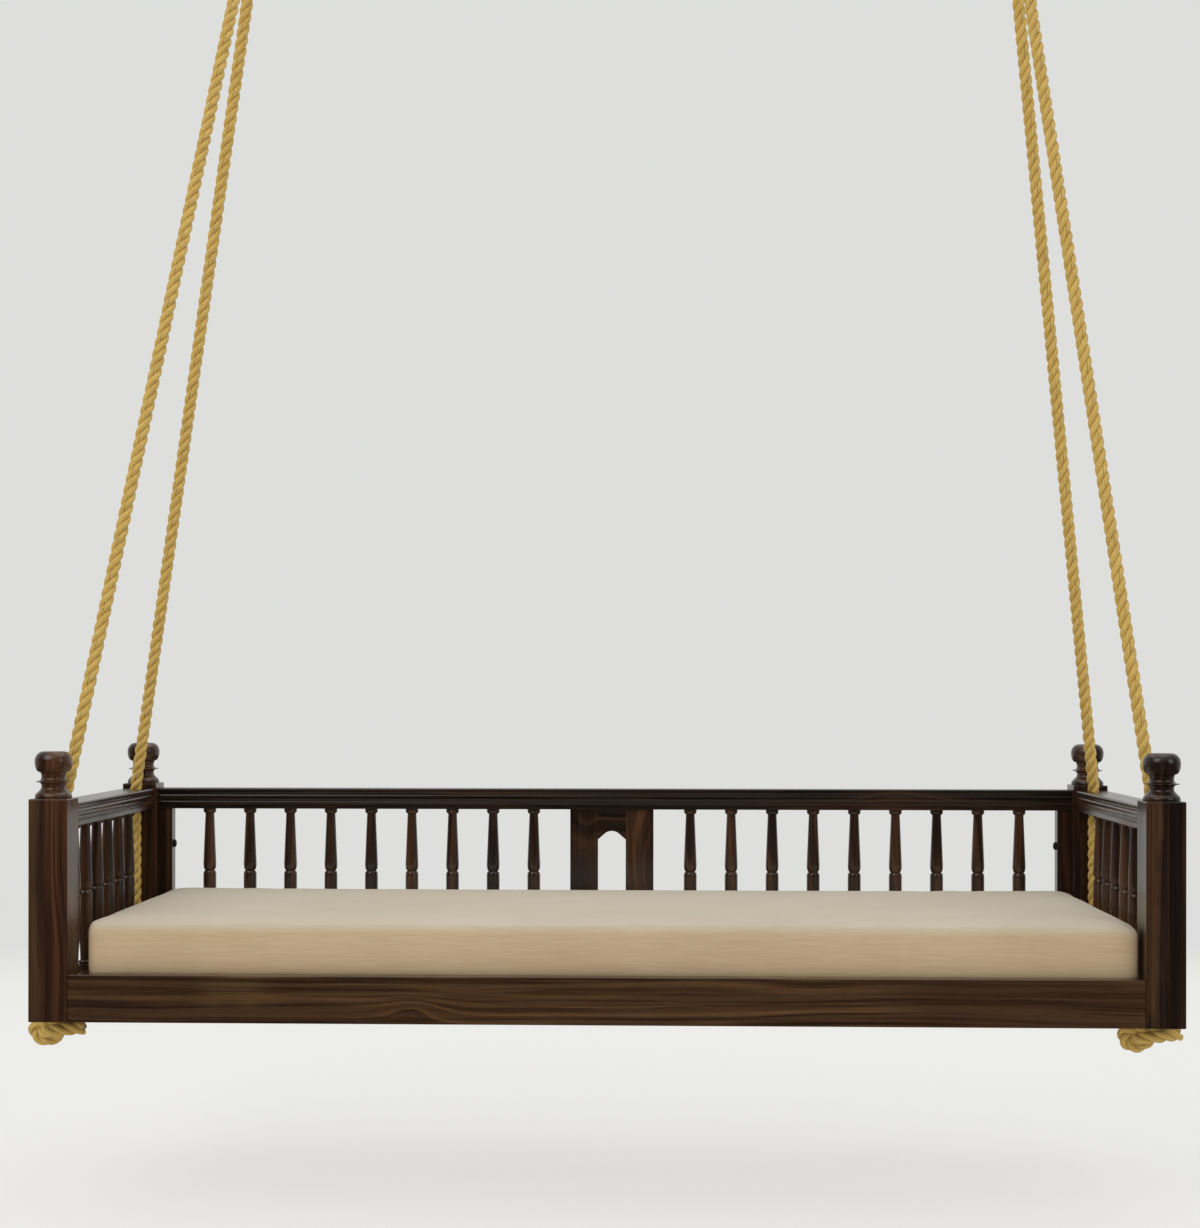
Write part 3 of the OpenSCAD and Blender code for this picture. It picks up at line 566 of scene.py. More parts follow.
class GrainEffect:
    """Wood grain along X of the vector that it gets: growth rings, streaks, pores and slow changes of tone."""

    INPUTS = (("Vector", "Vector", (0.0, 0.0, 0.0)), ("Seed", "Float", 0.0), ("Rings", "Float", 90.0),
              ("Knot", "Vector", (9.0, 9.0, 9.0)), ("Knot Size", "Float", 0.012))
    OUTPUTS = ("Figure", "Streaks", "Pores", "Tone")
    # Where the tree's middle lies beside the wood, and how far its line wanders, in metres
    PITH_Y, PITH_Z = 0.060, 0.085
    WANDER_Y, WANDER_Z, WANDER_STRETCH = 0.16, -0.12, (1.3, 7.0, 7.0)
    # How a knot pushes the rings round it
    KNOT_PUSH, KNOT_STRETCH = 2.6, (0.42, 1.0, 1.0)
    RINGS_ALONG, RING_EDGES = 0.8, (0.36, 0.66)
    STREAK_STRETCH = (2.2, 120.0, 120.0)
    PORE_STRETCH, PORE_EDGES = (22.0, 1000.0, 1000.0), (0.60, 0.74)
    TONE_STRETCH, TONE_SEED = (2.0, 13.0, 13.0), 7.0

    def __init__(self) -> None:
        """Builds the node group once."""
        self.tree = bpy.data.node_groups.new("Wood grain", "ShaderNodeTree")
        for label, kind, value in self.INPUTS:
            socket = self.tree.interface.new_socket(label, in_out="INPUT", socket_type=f"NodeSocket{kind}")
            socket.default_value = value
        for label in self.OUTPUTS:
            self.tree.interface.new_socket(label, in_out="OUTPUT", socket_type="NodeSocketFloat")
        graph = Graph(self.tree)
        come = self.tree.nodes.new("NodeGroupInput").outputs
        vector, seed, size = come["Vector"], come["Seed"], come["Knot Size"]
        wander = graph.minus(graph.noise(vector, seed=seed, stretch=self.WANDER_STRETCH), 0.5)
        x, y, z = graph.xyz(vector)
        y = graph.plus(graph.plus(y, self.PITH_Y), graph.times(wander, self.WANDER_Y))
        z = graph.plus(graph.minus(z, self.PITH_Z), graph.times(wander, self.WANDER_Z))
        distance = graph.math("SQRT", graph.plus(graph.times(y, y), graph.times(z, z)))
        off = graph.vector("MULTIPLY", graph.vector("SUBTRACT", vector, come["Knot"]), self.KNOT_STRETCH)
        near = graph.math("DIVIDE", graph.length(off), size)
        swell = graph.math("DIVIDE", 1.0, graph.plus(1.0, graph.times(near, near)))
        distance = graph.plus(distance, graph.times(graph.times(swell, size), self.KNOT_PUSH))
        rings = graph.times(distance, come["Rings"])
        layers = graph.add("CombineXYZ", {0: rings, 1: graph.times(x, self.RINGS_ALONG)}).outputs[0]
        figure = graph.between(graph.noise(layers, detail=3.0, roughness=0.62, seed=seed), *self.RING_EDGES)
        streaks = graph.noise(vector, detail=5.0, roughness=0.62, seed=seed, stretch=self.STREAK_STRETCH)
        pores = graph.between(graph.noise(vector, detail=1.0, seed=seed, stretch=self.PORE_STRETCH), *self.PORE_EDGES)
        tone = graph.noise(vector, seed=graph.plus(seed, self.TONE_SEED), stretch=self.TONE_STRETCH)
        values = zip(self.OUTPUTS, (figure, streaks, pores, tone))
        graph.feed_all(self.tree.nodes.new("NodeGroupOutput"), dict(values))


@dataclass(frozen=True)
class Patch:
    """A soft-edged part of a board with a different tone, as a block in the bed's millimetres."""

    low: Point3
    high: Point3
    tint: Tint
    strength: float
    soft: Point3
    wander: float
    streaky: float


@dataclass(frozen=True)
class StainedWood:
    """A stained and satin-varnished wood."""

    name: str
    grain: Grain
    seed: float
    dark: Tint = (17, 9, 5)
    middle: Tint = (42, 24, 13)
    light: Tint = (84, 54, 30)
    rings: float = 90.0
    figure: float = 0.42
    streaks: float = 0.50
    tone: float = 0.60
    lift: float = -0.26
    patches: tuple[Patch, ...] = ()
    knot: Point3 | None = None
    knot_size: float = 20.0
    roughness: float = 0.27
    rough_less: float = 0.05
    rough_more: float = 0.09
    specular: float = 0.42
    coat: float = 0.30
    coat_roughness: float = 0.12
    pore_dark: float = 0.5
    streak_height: float = 0.5
    bump: Point2 = (0.22, 0.0003)

    def make(self, grain: GrainEffect) -> bpy.types.Material:
        """Builds the material."""
        material, graph, shader = new_material(self.name)
        coords = graph.place()
        mapping = graph.add("Mapping", {"Vector": coords, "Rotation": self.grain.value}).outputs[0]
        inputs = {"Vector": mapping, "Seed": self.seed, "Rings": self.rings}
        if self.knot:
            inputs |= {"Knot": BED_SPACE @ Vector(self.knot), "Knot Size": self.knot_size * MM}
        made = graph.add("Group", inputs, node_tree=grain.tree).outputs
        factor = graph.plus(graph.times(made["Figure"], self.figure), graph.times(made["Streaks"], self.streaks))
        factor = graph.plus(factor, graph.times(made["Tone"], self.tone))
        factor = graph.plus(factor, self.lift, clamp=True)
        colour = graph.ramp(factor, ((0.14, self.dark), (0.46, self.middle), (0.88, self.light)))
        for patch in self.patches:
            colour = self.patched(graph, coords, made["Streaks"], colour, patch)
        colour = graph.blend(graph.times(made["Pores"], self.pore_dark), colour, srgb(*self.dark))
        least, most = self.roughness - self.rough_less, self.roughness + self.rough_more
        graph.feed_all(shader, {
            "Base Color": colour, "Roughness": graph.between(made["Streaks"], 0.3, 0.75, least, most),
            "Specular IOR Level": self.specular, "Coat Weight": self.coat, "Coat Roughness": self.coat_roughness,
        })
        graph.bump(shader, graph.minus(graph.times(made["Streaks"], self.streak_height), made["Pores"]), *self.bump)
        return material

    def patched(self, graph: Graph, coords: Socket, streaks: Socket, colour: Any, patch: Patch) -> Socket:
        """The colour with one patch laid over it."""
        blur = graph.noise(coords, detail=3.0, roughness=0.6, seed=self.seed + 3.0, stretch=(9.0, 9.0, 9.0))
        shift = graph.times(graph.minus(blur, 0.5), 4 * patch.wander * MM)
        low, high = BED_SPACE @ Vector(patch.low), BED_SPACE @ Vector(patch.high)
        mask: Any = patch.strength
        for axis, part in enumerate(graph.xyz(coords)):
            part = graph.plus(part, shift)
            soft = patch.soft[axis] * MM
            mask = graph.times(mask, graph.between(part, low[axis] - soft, low[axis] + soft))
            mask = graph.times(mask, graph.between(part, high[axis] - soft, high[axis] + soft, 1.0, 0.0))
        streaky = graph.between(streaks, 0.34, 0.66, 1.0 - patch.streaky, 1.0)
        return graph.blend(graph.times(mask, streaky, clamp=True), colour, srgb(*patch.tint))


def new_material(name: str) -> tuple[bpy.types.Material, Graph, bpy.types.Node]:
    """A material with its node tree and its Principled shader."""
    material = bpy.data.materials.new(name)
    material.use_nodes = True
    return material, Graph(material.node_tree), material.node_tree.nodes["Principled BSDF"]


@dataclass(frozen=True)
class RopeFibre:
    """Three-strand rope: yarns that lie nearly along the rope, one of them dark, with painted shade in the grooves
    between the yarns.
    """

    name: str = "rope fibre"
    # Painted light: the stops run from a shaded to a lit tone of the fibre
    stops: Stops = ((0.18, (126, 92, 30)), (0.50, (192, 155, 68)), (0.85, (228, 198, 112)))
    yarns: float = 11.0
    yarn_turns: float = 2.0
    tracer: Tint = (46, 32, 20)
    tracer_width: float = 0.024
    tracer_strength: float = 0.6
    roughness: float = 0.72
    sheen: float = 0.2
    bump: Point2 = (0.6, 0.0006)

    def make(self) -> bpy.types.Material:
        """Builds the material; the UV map has turns round a strand plus its number in U, and lays in V."""
        material, graph, shader = new_material(self.name)
        u, v, _ = graph.xyz(graph.add("UVMap", uv_map="Strand").outputs[0])
        phase = graph.plus(u, graph.times(v, self.yarn_turns))
        yarn = graph.between(graph.math("SINE", graph.times(phase, math.tau * self.yarns)), -1.0, 0.6)
        coords = graph.place()
        fibres = graph.noise(coords, scale=1300.0, roughness=0.6)
        blotch = graph.noise(coords, scale=46.0, detail=3.0, roughness=0.6)
        # Painted shade: the yarn stripes darken the colour in the grooves between yarns, and the two noises vary the
        # fibre's own tone at random
        factor = graph.plus(graph.times(yarn, 0.30), graph.times(fibres, 0.45))
        factor = graph.plus(factor, graph.times(blotch, 0.35), clamp=True)
        off_middle = graph.math("ABSOLUTE", graph.minus(graph.math("FRACT", phase), 0.5))
        line = graph.between(off_middle, 0.5 - self.tracer_width, 0.5 - self.tracer_width * 0.6)
        line = graph.times(graph.times(line, self.tracer_strength), graph.math("LESS_THAN", u, 1.0))
        colour = graph.blend(line, graph.ramp(factor, self.stops), srgb(*self.tracer))
        graph.feed_all(shader, {"Base Color": colour, "Roughness": self.roughness, "Sheen Weight": self.sheen})
        graph.bump(shader, graph.plus(graph.times(yarn, 0.7), graph.times(fibres, 0.5)), *self.bump)
        return material


@dataclass(frozen=True)
class MattressCloth:
    """Plain woven cotton over foam, with painted light: its top is painted greyer and lighter, as where the light falls
    from above, and its front warmer and darker, as in shade.
    """

    name: str = "mattress cloth"
    # Painted light: the front's stops are a shaded tone of the cloth, warmer and darker, and the top's a lit tone,
    # greyer and lighter
    front: Stops = ((0.25, (178, 154, 121)), (0.5, (191, 167, 134)), (0.75, (202, 180, 149)))
    top: Stops = ((0.25, (182, 171, 150)), (0.5, (192, 182, 163)), (0.75, (201, 192, 175)))
    thread: float = 0.0013
    unevenness: float = 2.2
    slub_stretch: Point3 = (16.0, 420.0, 420.0)
    # Painted light: the shaded front tone turns to the lit top tone from turn_from to turn_to below the top
    top_z: float = 180.0
    turn_from: float = 0.030
    turn_to: float = 0.006
    roughness: float = 0.88
    specular: float = 0.25
    sheen: float = 0.12
    bump: Point2 = (0.28, 0.0004)

    def make(self) -> bpy.types.Material:
        """Builds the material."""
        material, graph, shader = new_material(self.name)
        coords = graph.place()
        x, y, z = graph.xyz(coords)
        jitter = graph.times(graph.noise(coords, scale=240.0), self.unevenness)
        pitch = math.tau / self.thread
        wefts, depths, warps = (
            graph.math("SINE", graph.plus(graph.times(part, pitch), jitter)) for part in (z, y, x)
        )
        weave = graph.math("MAXIMUM", graph.times(wefts, depths), warps)
        slubs = graph.noise(coords, detail=3.0, roughness=0.55, stretch=self.slub_stretch)
        soil = graph.noise(coords, scale=4.0, detail=3.0, roughness=0.55)
        factor = graph.plus(graph.times(slubs, 0.6), graph.times(soil, 0.4), clamp=True)
        # Painted light: just under the top the colour turns from the shaded front tone to the lit top tone
        high = (BED_SPACE @ Vector((0.0, 0.0, self.top_z))).z
        lit_top_share = graph.between(z, high - self.turn_from, high - self.turn_to)
        graph.feed_all(shader, {
            "Base Color": graph.blend(lit_top_share, graph.ramp(factor, self.front), graph.ramp(factor, self.top)),
            "Roughness": self.roughness, "Specular IOR Level": self.specular, "Sheen Weight": self.sheen,
        })
        graph.bump(shader, graph.plus(graph.times(weave, 0.4), graph.times(slubs, 0.6)), *self.bump)
        return material


@dataclass(frozen=True)
class Metal:
    """A plated or blackened steel."""

    name: str
    colour: Tint
    dull: Tint
    roughness: float
    metallic: float = 1.0
    rough_less: float = 0.06
    rough_more: float = 0.1
    bump: Point2 = (0.2, 0.0002)

    def make(self) -> bpy.types.Material:
        """Builds the material."""
        material, graph, shader = new_material(self.name)
        coords = graph.place()
        cloud = graph.noise(coords, scale=38.0, detail=4.0, roughness=0.6)
        dull, bright = self.roughness + self.rough_more, self.roughness - self.rough_less
        graph.feed_all(shader, {
            "Base Color": graph.ramp(cloud, ((0.35, self.dull), (0.65, self.colour))), "Metallic": self.metallic,
            "Roughness": graph.between(cloud, 0.3, 0.7, dull, bright),
        })
        graph.bump(shader, graph.noise(coords, scale=900.0), *self.bump)
        return material


@dataclass(frozen=True)
class Twine:
    """Thin tarred twine wound tightly."""

    name: str = "twine"
    stops: Stops = ((0.3, (116, 88, 42)), (0.7, (186, 150, 84)))
    roughness: float = 0.75
    bump: Point2 = (0.4, 0.0004)

    def make(self) -> bpy.types.Material:
        """Builds the material."""
        material, graph, shader = new_material(self.name)
        fibres = graph.noise(graph.place(), scale=1100.0, detail=3.0, roughness=0.6)
        graph.feed_all(shader, {"Base Color": graph.ramp(fibres, self.stops), "Roughness": self.roughness})
        graph.bump(shader, fibres, *self.bump)
        return material


class Finishes:
    """Every material, built once."""

    def __init__(self) -> None:
        """Builds the wood grain and the materials that aren't wood."""
        self.grain = GrainEffect()
        self.rope = RopeFibre().make()
        self.cloth = MattressCloth().make()
        self.twine = Twine().make()
        self.zinc = Metal("zinc plate", (196, 198, 200), (150, 153, 156), 0.34).make()
        self.black = Metal("black steel", (52, 52, 54), (30, 30, 32), 0.40, 0.9).make()

    def wood(self, wood: StainedWood) -> bpy.types.Material:
        """A wood's material, built on first use."""
        return bpy.data.materials.get(wood.name) or wood.make(self.grain)

    def stain(self, obj: bpy.types.Object, name: str, wood: StainedWood) -> None:
        """Dresses a stained piece and gives it to the bed."""
        publish(obj, self.wood(wood), Belonging("bed", (name,), "stained_wood"))


# ---- Studio ----


@dataclass(frozen=True)
class Camera:
    """The photograph's camera, fitted to the bed's edges."""

    place: Point3 = (0.0722, -3.8920, -1.7301)
    yaw: float = 0.0314
    pitch: float = 0.0007
    roll: float = 0.0009
    lens: float = 59.898
    shift_y: float = 0.06355
    sensor: float = 36.0
    clip: Point2 = (0.05, 60.0)

    def make(self) -> None:
        """Builds the camera and makes it the scene's."""
        data = bpy.data.cameras.new("camera")
        data.sensor_fit = "AUTO"
        data.sensor_width, data.lens, data.shift_y = self.sensor, self.lens, self.shift_y
        data.clip_start, data.clip_end = self.clip
        camera = bpy.data.objects.new("camera", data)
        bpy.context.scene.collection.objects.link(camera)
        turn = Matrix.Rotation(self.yaw, 4, "Z") @ Matrix.Rotation(math.pi / 2 + self.pitch, 4, "X")
        camera.matrix_world = Matrix.Translation(self.place) @ turn @ Matrix.Rotation(self.roll, 4, "Z")
        bpy.context.scene.camera = camera


@dataclass(frozen=True)
class Lamp:
    """One soft lamp that points at a place."""

    name: str
    place: Point3
    target: Point3
    size: Point2
    watts: float
    colour: Colour

    def make(self) -> None:
        """Builds the lamp."""
        data = bpy.data.lights.new(self.name, "AREA")
        data.shape = "RECTANGLE"
        data.size, data.size_y = self.size
        data.energy = self.watts
        data.color = self.colour
        lamp = bpy.data.objects.new(self.name, data)
        bpy.context.scene.collection.objects.link(lamp)
        lamp.location = self.place
        lamp.rotation_mode = "QUATERNION"
        lamp.rotation_quaternion = (Vector(self.target) - Vector(self.place)).to_track_quat("-Z", "Y")


@dataclass(frozen=True)
class Studio:
    """A pale floor, a pale surround and plain soft light."""

    floor_z: float = -2.66
    floor_radius: float = 4.4
    fade_from: float = 3.0
    floor: Tint = (240, 240, 238)
    surround: Tint = (222, 223, 220)
    floor_glow: float = 0.72
    floor_mirrored: Tint = (74, 64, 54)
    floor_roughness: float = 0.9
    floor_specular: float = 0.1
    floor_segments: int = 96
    world_tint: Colour = (1.0, 0.985, 0.955)
    world_strength: float = 0.70
    front_dim: float = 0.02
    back_bright: float = 0.9
    back_edges: Point2 = (-0.60, 0.90)
    above_bright: float = 0.8
    above_edges: Point2 = (0.35, 0.85)
    lamps: tuple[Lamp, ...] = (
        Lamp("key", (-2.4, -3.4, 1.2), (0.0, 0.0, -2.1), (3.4, 3.4), 74.0, (1.0, 0.975, 0.935)),
        Lamp("over", (0.4, 0.6, 1.6), (0.0, 0.0, -2.2), (4.0, 3.0), 34.0, (0.97, 0.985, 1.0)),
        Lamp("right window", (3.1, -2.4, -0.7), (0.4, 0.0, -2.1), (1.5, 1.7), 16.0, (0.90, 0.95, 1.0)),
    )

    def make(self) -> None:
        """Builds the floor, the world and the lamps."""
        bpy.context.scene.view_settings.view_transform = "Standard"
        self.make_world()
        self.make_floor()
        for lamp in self.lamps:
            lamp.make()

    def make_world(self) -> None:
        """Builds a plain surround, seen pale by the camera, and darker from the front by glossy faces."""
        world = bpy.data.worlds.new("surround")
        bpy.context.scene.world = world
        world.use_nodes = True
        graph = Graph(world.node_tree)
        light = world.node_tree.nodes["Background"]
        graph.feed_all(light, {"Color": (*self.world_tint, 1.0), "Strength": self.world_strength})
        path = graph.add("LightPath").outputs
        plain = graph.add("Background", {"Color": srgb(*self.surround), "Strength": 1.0})
        _, y, z = graph.xyz(graph.add("TexCoord").outputs["Generated"])
        back = graph.between(y, *self.back_edges, self.front_dim, self.back_bright)
        above = graph.between(z, *self.above_edges, 0.0, self.above_bright)
        bright = graph.math("MAXIMUM", back, above)
        glossy = graph.add("Background", {"Color": srgb(*self.surround), "Strength": bright})
        seen = graph.math("MAXIMUM", path["Is Camera Ray"], path["Is Transmission Ray"])
        first = graph.add("MixShader", {0: path["Is Glossy Ray"], 1: light.outputs[0], 2: glossy.outputs[0]})
        last = graph.add("MixShader", {0: seen, 1: first.outputs[0], 2: plain.outputs[0]})
        graph.feed(world.node_tree.nodes["World Output"].inputs["Surface"], last.outputs[0])

    def make_floor(self) -> None:
        """Builds a round floor that fades out, is dark in glossy faces and lets a camera below it see through."""
        bm = bmesh.new()
        bmesh.ops.create_circle(bm, cap_ends=True, radius=self.floor_radius, segments=self.floor_segments)
        bmesh.ops.translate(bm, vec=(0, 0, self.floor_z), verts=bm.verts)
        floor = new_object(bm, "floor", Matrix.Identity(4))
        material, graph, shader = new_material("floor")
        graph.feed_all(shader, {
            "Base Color": srgb(*self.floor), "Roughness": self.floor_roughness,
            "Specular IOR Level": self.floor_specular,
        })
        path = graph.add("LightPath").outputs
        glow = graph.add("Emission", {"Color": srgb(*self.floor), "Strength": 1.0})
        seen = graph.times(path["Is Camera Ray"], self.floor_glow)
        plain = graph.add("MixShader", {0: seen, 1: shader.outputs[0], 2: glow.outputs[0]})
        mirrored = graph.add("Emission", {"Color": srgb(*self.floor_mirrored), "Strength": 1.0})
        lit = graph.add("MixShader", {0: path["Is Glossy Ray"], 1: plain.outputs[0], 2: mirrored.outputs[0]})
        distance = graph.length(graph.vector("MULTIPLY", graph.place(), (1.0, 1.0, 0.0)))
        fade = graph.between(distance, self.fade_from, self.floor_radius)
        hidden = graph.math("MAXIMUM", fade, graph.add("NewGeometry").outputs["Backfacing"])
        clear = graph.add("BsdfTransparent")
        mix = graph.add("MixShader", {0: hidden, 1: lit.outputs[0], 2: clear.outputs[0]})
        graph.feed(material.node_tree.nodes["Material Output"].inputs["Surface"], mix.outputs[0])
        floor.data.materials.append(material)


# ---- Lines and what is swept along them ----


def even(points: Sequence[Vector], step: float) -> list[Vector]:
    """The same route in even steps."""
    lengths = [(b - a).length for a, b in zip(points, points[1:])]
    total = sum(lengths)
    count = max(2, round(total / step))
    made, i, passed = [], 0, 0.0
    for k in range(count + 1):
        at = total * k / count
        while i < len(lengths) - 1 and passed + lengths[i] < at:
            passed += lengths[i]
            i += 1
        share = (at - passed) / lengths[i] if lengths[i] else 0.0
        made.append(points[i].lerp(points[i + 1], min(1.0, share)))
    return made


def eased(points: list[Vector], rounds: int) -> list[Vector]:
    """The same route with its corners eased, its ends held."""
    for _ in range(rounds):
        inner = [p.lerp((a + b) / 2, 0.5) for a, p, b in zip(points, points[1:], points[2:])]
        points = [points[0], *inner, points[-1]]
    return points


def through(points: Sequence[Vector], parts: int = 6) -> list[Vector]:
    """A smooth route through evenly spaced points, each gap in so many parts."""
    held = [points[0] * 2 - points[1], *points, points[-1] * 2 - points[-2]]
    made = []
    for a, b, c, d in zip(held, held[1:], held[2:], held[3:]):
        for i in range(parts):
            t = i / parts
            made.append(b + (c - a) * (t / 2) + (a * 2 - b * 5 + c * 4 - d) * (t * t / 2)
                        + (b * 3 - a - c * 3 + d) * (t * t * t / 2))
    return [*made, points[-1]]


def frames_along(line: Sequence[Vector], across: Vector) -> list[tuple[Vector, Vector, Vector]]:
    """At each point of a line its direction and two directions across it that don't twist."""
    made = []
    for i in range(len(line)):
        ahead = (line[min(i + 1, len(line) - 1)] - line[max(i - 1, 0)]).normalized()
        across = (across - ahead * across.dot(ahead)).normalized()
        made.append((ahead, across, ahead.cross(across)))
    return made


def new_tube(line: Sequence[Vector], radius: float, sides: int, across: Vector) -> Mesh:
    """A round tube swept along a line, its ends closed."""
    bm = bmesh.new()
    rings = []
    for point, (_, e1, e2) in zip(line, frames_along(line, across)):
        angles = [math.tau * k / sides for k in range(sides)]
        rings.append([bm.verts.new(point + (e1 * math.cos(a) + e2 * math.sin(a)) * radius) for a in angles])
    for low, high in zip(rings, rings[1:]):
        for k in range(sides):
            bm.faces.new((low[k], low[(k + 1) % sides], high[(k + 1) % sides], high[k]))
    bm.faces.new(reversed(rings[0]))
    bm.faces.new(rings[-1])
    bmesh.ops.recalc_face_normals(bm, faces=bm.faces)
    return bm


# ---- Ropes ----


@dataclass(frozen=True)
class RopeSizes:
    """Measures of the ropes and of what they hang on, in millimetres, named as in the CAD source."""

    rope_d: float = 24.0
    lay: float = 65.0
    strand_r: float = 5.75
    strand_off: float = 6.35
    step: float = 3.0
    sides: int = 14
    thimble_d: float = 28.0
    thimble_t: float = 2.7
    thimble_w: float = 25.0
    thimble_grip: float = 0.6
    thimble_hang_gap: float = 0.6
    joint_gap: float = 0.15
    swing_pin_z: float = 34.0
    rope_pin_z: float = -94.0
    rope_pin_d: float = 16.0
    leg_gap: float = 0.6
    throat_l: float = 66.0
    seizing_drop: float = 8.0
    seizing_h: float = 48.0
    twine_d: float = 2.0
    eye_tail_l: float = 30.0
    eye_y: float = 25.0
    bow: float = 1.2
    bow_l: float = 6.0
    tilt_gap: float = 2.6
    strands: int = 3
    eye_steps: int = 40
    fine_step: float = 2.0
    ease_rounds: int = 14
    bend_length: float = 30.0

    @property
    def eye_r(self) -> float:
        """Radius of the rope's middle line round a thimble."""
        return self.thimble_d / 2 + self.thimble_t + self.rope_d / 2

    @property
    def leg_a(self) -> float:
        """How far each leg of an eye lies from the eye's middle line."""
        return (self.rope_d + self.leg_gap) / 2

    @property
    def seizing_end(self) -> float:
        """Distance from an eye's middle to its seizing's lower end."""
        return self.throat_l + self.seizing_drop + self.seizing_h


ROPE_SIZES = RopeSizes()

# The stopper knot's middle line under a bottom rail, from the hole to the cut end, in millimetres
KNOT_LINE: tuple[Point3, ...] = (
    (0, 0, 12), (-2, 1, -2), (-4, 1, -16), (-5, 1, -30), (-13, 0, -41), (-26, -1, -46), (-40, -1, -45), (-50, -2, -35),
    (-52, -5, -22), (-44, -10, -12), (-31, -16, -12), (-17, -18, -12), (-3, -18, -12), (10, -12, -12), (15, 1, -12),
    (10, 14, -14), (-2, 21, -17), (-16, 22, -19), (-29, 16, -21), (-35, 4, -24), (-33, -9, -28), (-26, -21, -28),
    (-13, -26, -26), (1, -26, -25), (15, -24, -23), (29, -22, -22), (43, -20, -22),
)


class Rope:
    """One rope: its eye round the thimble, its run to the bed, its way through the rails and its stopper knot."""

    def __init__(self, side: Side, face: Face, sizes: RopeSizes, bed: BedSizes) -> None:
        """Keeps which rope this is, and the sizes."""
        self.side, self.face, self.sizes, self.bed = side, face, sizes, bed
        label = f"{face.name.lower()}_{side.name.lower()}"
        self.run, self.tail = f"rope_{label}", f"rope_tail_{label}"

    def hook_x(self) -> float:
        """X of this side's hook."""
        return self.side.value * self.bed.hook_span / 2

    def hole(self) -> Vector:
        """The rope's hole in the side top rail's top."""
        x = self.side.value * self.bed.post_cx - HOOK_SHIFT
        return Vector((x, self.face.value * self.bed.rope_y, self.bed.top_z - BED_DROP))

    def pull(self) -> Vector:
        """The pull of this side's ropes, seen from the front."""
        hole = self.hole()
        return Vector((hole.x - self.hook_x(), 0, hole.z - self.sizes.rope_pin_z)).normalized()

    def eye(self) -> Vector:
        """The eye's middle."""
        sizes = self.sizes
        seat = sizes.thimble_d / 2 - sizes.rope_pin_d / 2 - sizes.thimble_hang_gap
        return Vector((self.hook_x(), self.face.value * sizes.eye_y, sizes.rope_pin_z)) + self.pull() * seat

    def eye_plane(self, across: float, along: float) -> Vector:
        """A point of the eye's own plane, from the eye's middle."""
        pull = self.pull()
        return self.eye() + Vector((-pull.z, 0, pull.x)) * across + pull * along

    def corners(self) -> list[Vector]:
        """The route's corner points in millimetres from the ceiling, from the cut end at the eye to the knot's end."""
        s = self.sizes
        opening = math.acos(s.eye_r / math.hypot(s.leg_a, s.throat_l)) + math.atan2(s.leg_a, s.throat_l)
        route = [self.eye_plane(-s.leg_a, s.seizing_end + s.eye_tail_l), self.eye_plane(-s.leg_a, s.throat_l + s.bow_l)]
        route.append(self.eye_plane(-s.leg_a - s.bow, s.throat_l - s.bow_l))
        for i in range(s.eye_steps + 1):
            angle = lerp(opening, math.tau - opening, i / s.eye_steps)
            route.append(self.eye_plane(-s.eye_r * math.sin(angle), s.eye_r * math.cos(angle)))
        route.append(self.eye_plane(s.leg_a + s.bow, s.throat_l - s.bow_l))
        route.append(self.eye_plane(s.leg_a, s.throat_l + s.bow_l))
        route.append(self.eye_plane(s.leg_a, s.seizing_end))
        hole = self.hole()
        route.append(hole)
        foot = Vector((hole.x, hole.y, -BED_DROP))
        route.extend(foot + point for point in through([Vector(point) for point in KNOT_LINE]))
        return route

    def line(self) -> list[Vector]:
        """The rope's middle line, in even steps, with its corners eased."""
        s = self.sizes
        return even(eased(even(self.corners(), s.fine_step), s.ease_rounds), s.step)

    def mesh(self, line: list[Vector], first: int, last: int) -> Mesh:
        """Three strands laid round a stretch of the middle line, with their UV map.

        Args:
            line: The whole rope's middle line.
            first: Number of the stretch's first point.
            last: Number of its last point.

        Returns:
            The strands' mesh, which fits the next stretch's exactly.
        """
        s = self.sizes
        bm = bmesh.new()
        uv = bm.loops.layers.uv.new("Strand")
        frames = frames_along(line, Vector((0, -1, 0)))
        middle = frames[len(line) // 2]
        offset = math.atan2(Vector((0, -1, 0)).dot(middle[2]), Vector((0, -1, 0)).dot(middle[1]))
        slope = math.tau * s.strand_off / s.lay
        for strand in range(s.strands):
            rings: list[list[bmesh.types.BMVert]] = []
            for i in range(first, last + 1):
                point, (ahead, e1, e2) = line[i], frames[i]
                angle = math.tau * (i * s.step / s.lay + strand / s.strands) + offset
                out = e1 * math.cos(angle) + e2 * math.sin(angle)
                round_ = e2 * math.cos(angle) - e1 * math.sin(angle)
                heading = (ahead + round_ * slope).normalized()
                side = heading.cross(out)
                centre = point + out * s.strand_off
                rings.append([
                    bm.verts.new(centre + (out * math.cos(a) + side * math.sin(a)) * s.strand_r)
                    for a in (math.tau * k / s.sides for k in range(s.sides))
                ])
            for i, (low, high) in enumerate(zip(rings, rings[1:]), first):
                v0, v1 = i * s.step / s.lay, (i + 1) * s.step / s.lay
                for k in range(s.sides):
                    nxt = (k + 1) % s.sides
                    face = bm.faces.new((low[k], low[nxt], high[nxt], high[k]))
                    u0, u1 = strand + k / s.sides, strand + (k + 1) / s.sides
                    for loop, value in zip(face.loops, ((u0, v0), (u1, v0), (u1, v1), (u0, v1))):
                        loop[uv].uv = value
            bm.faces.new(reversed(rings[0]))
            bm.faces.new(rings[-1])
        bmesh.ops.recalc_face_normals(bm, faces=bm.faces)
        return bm

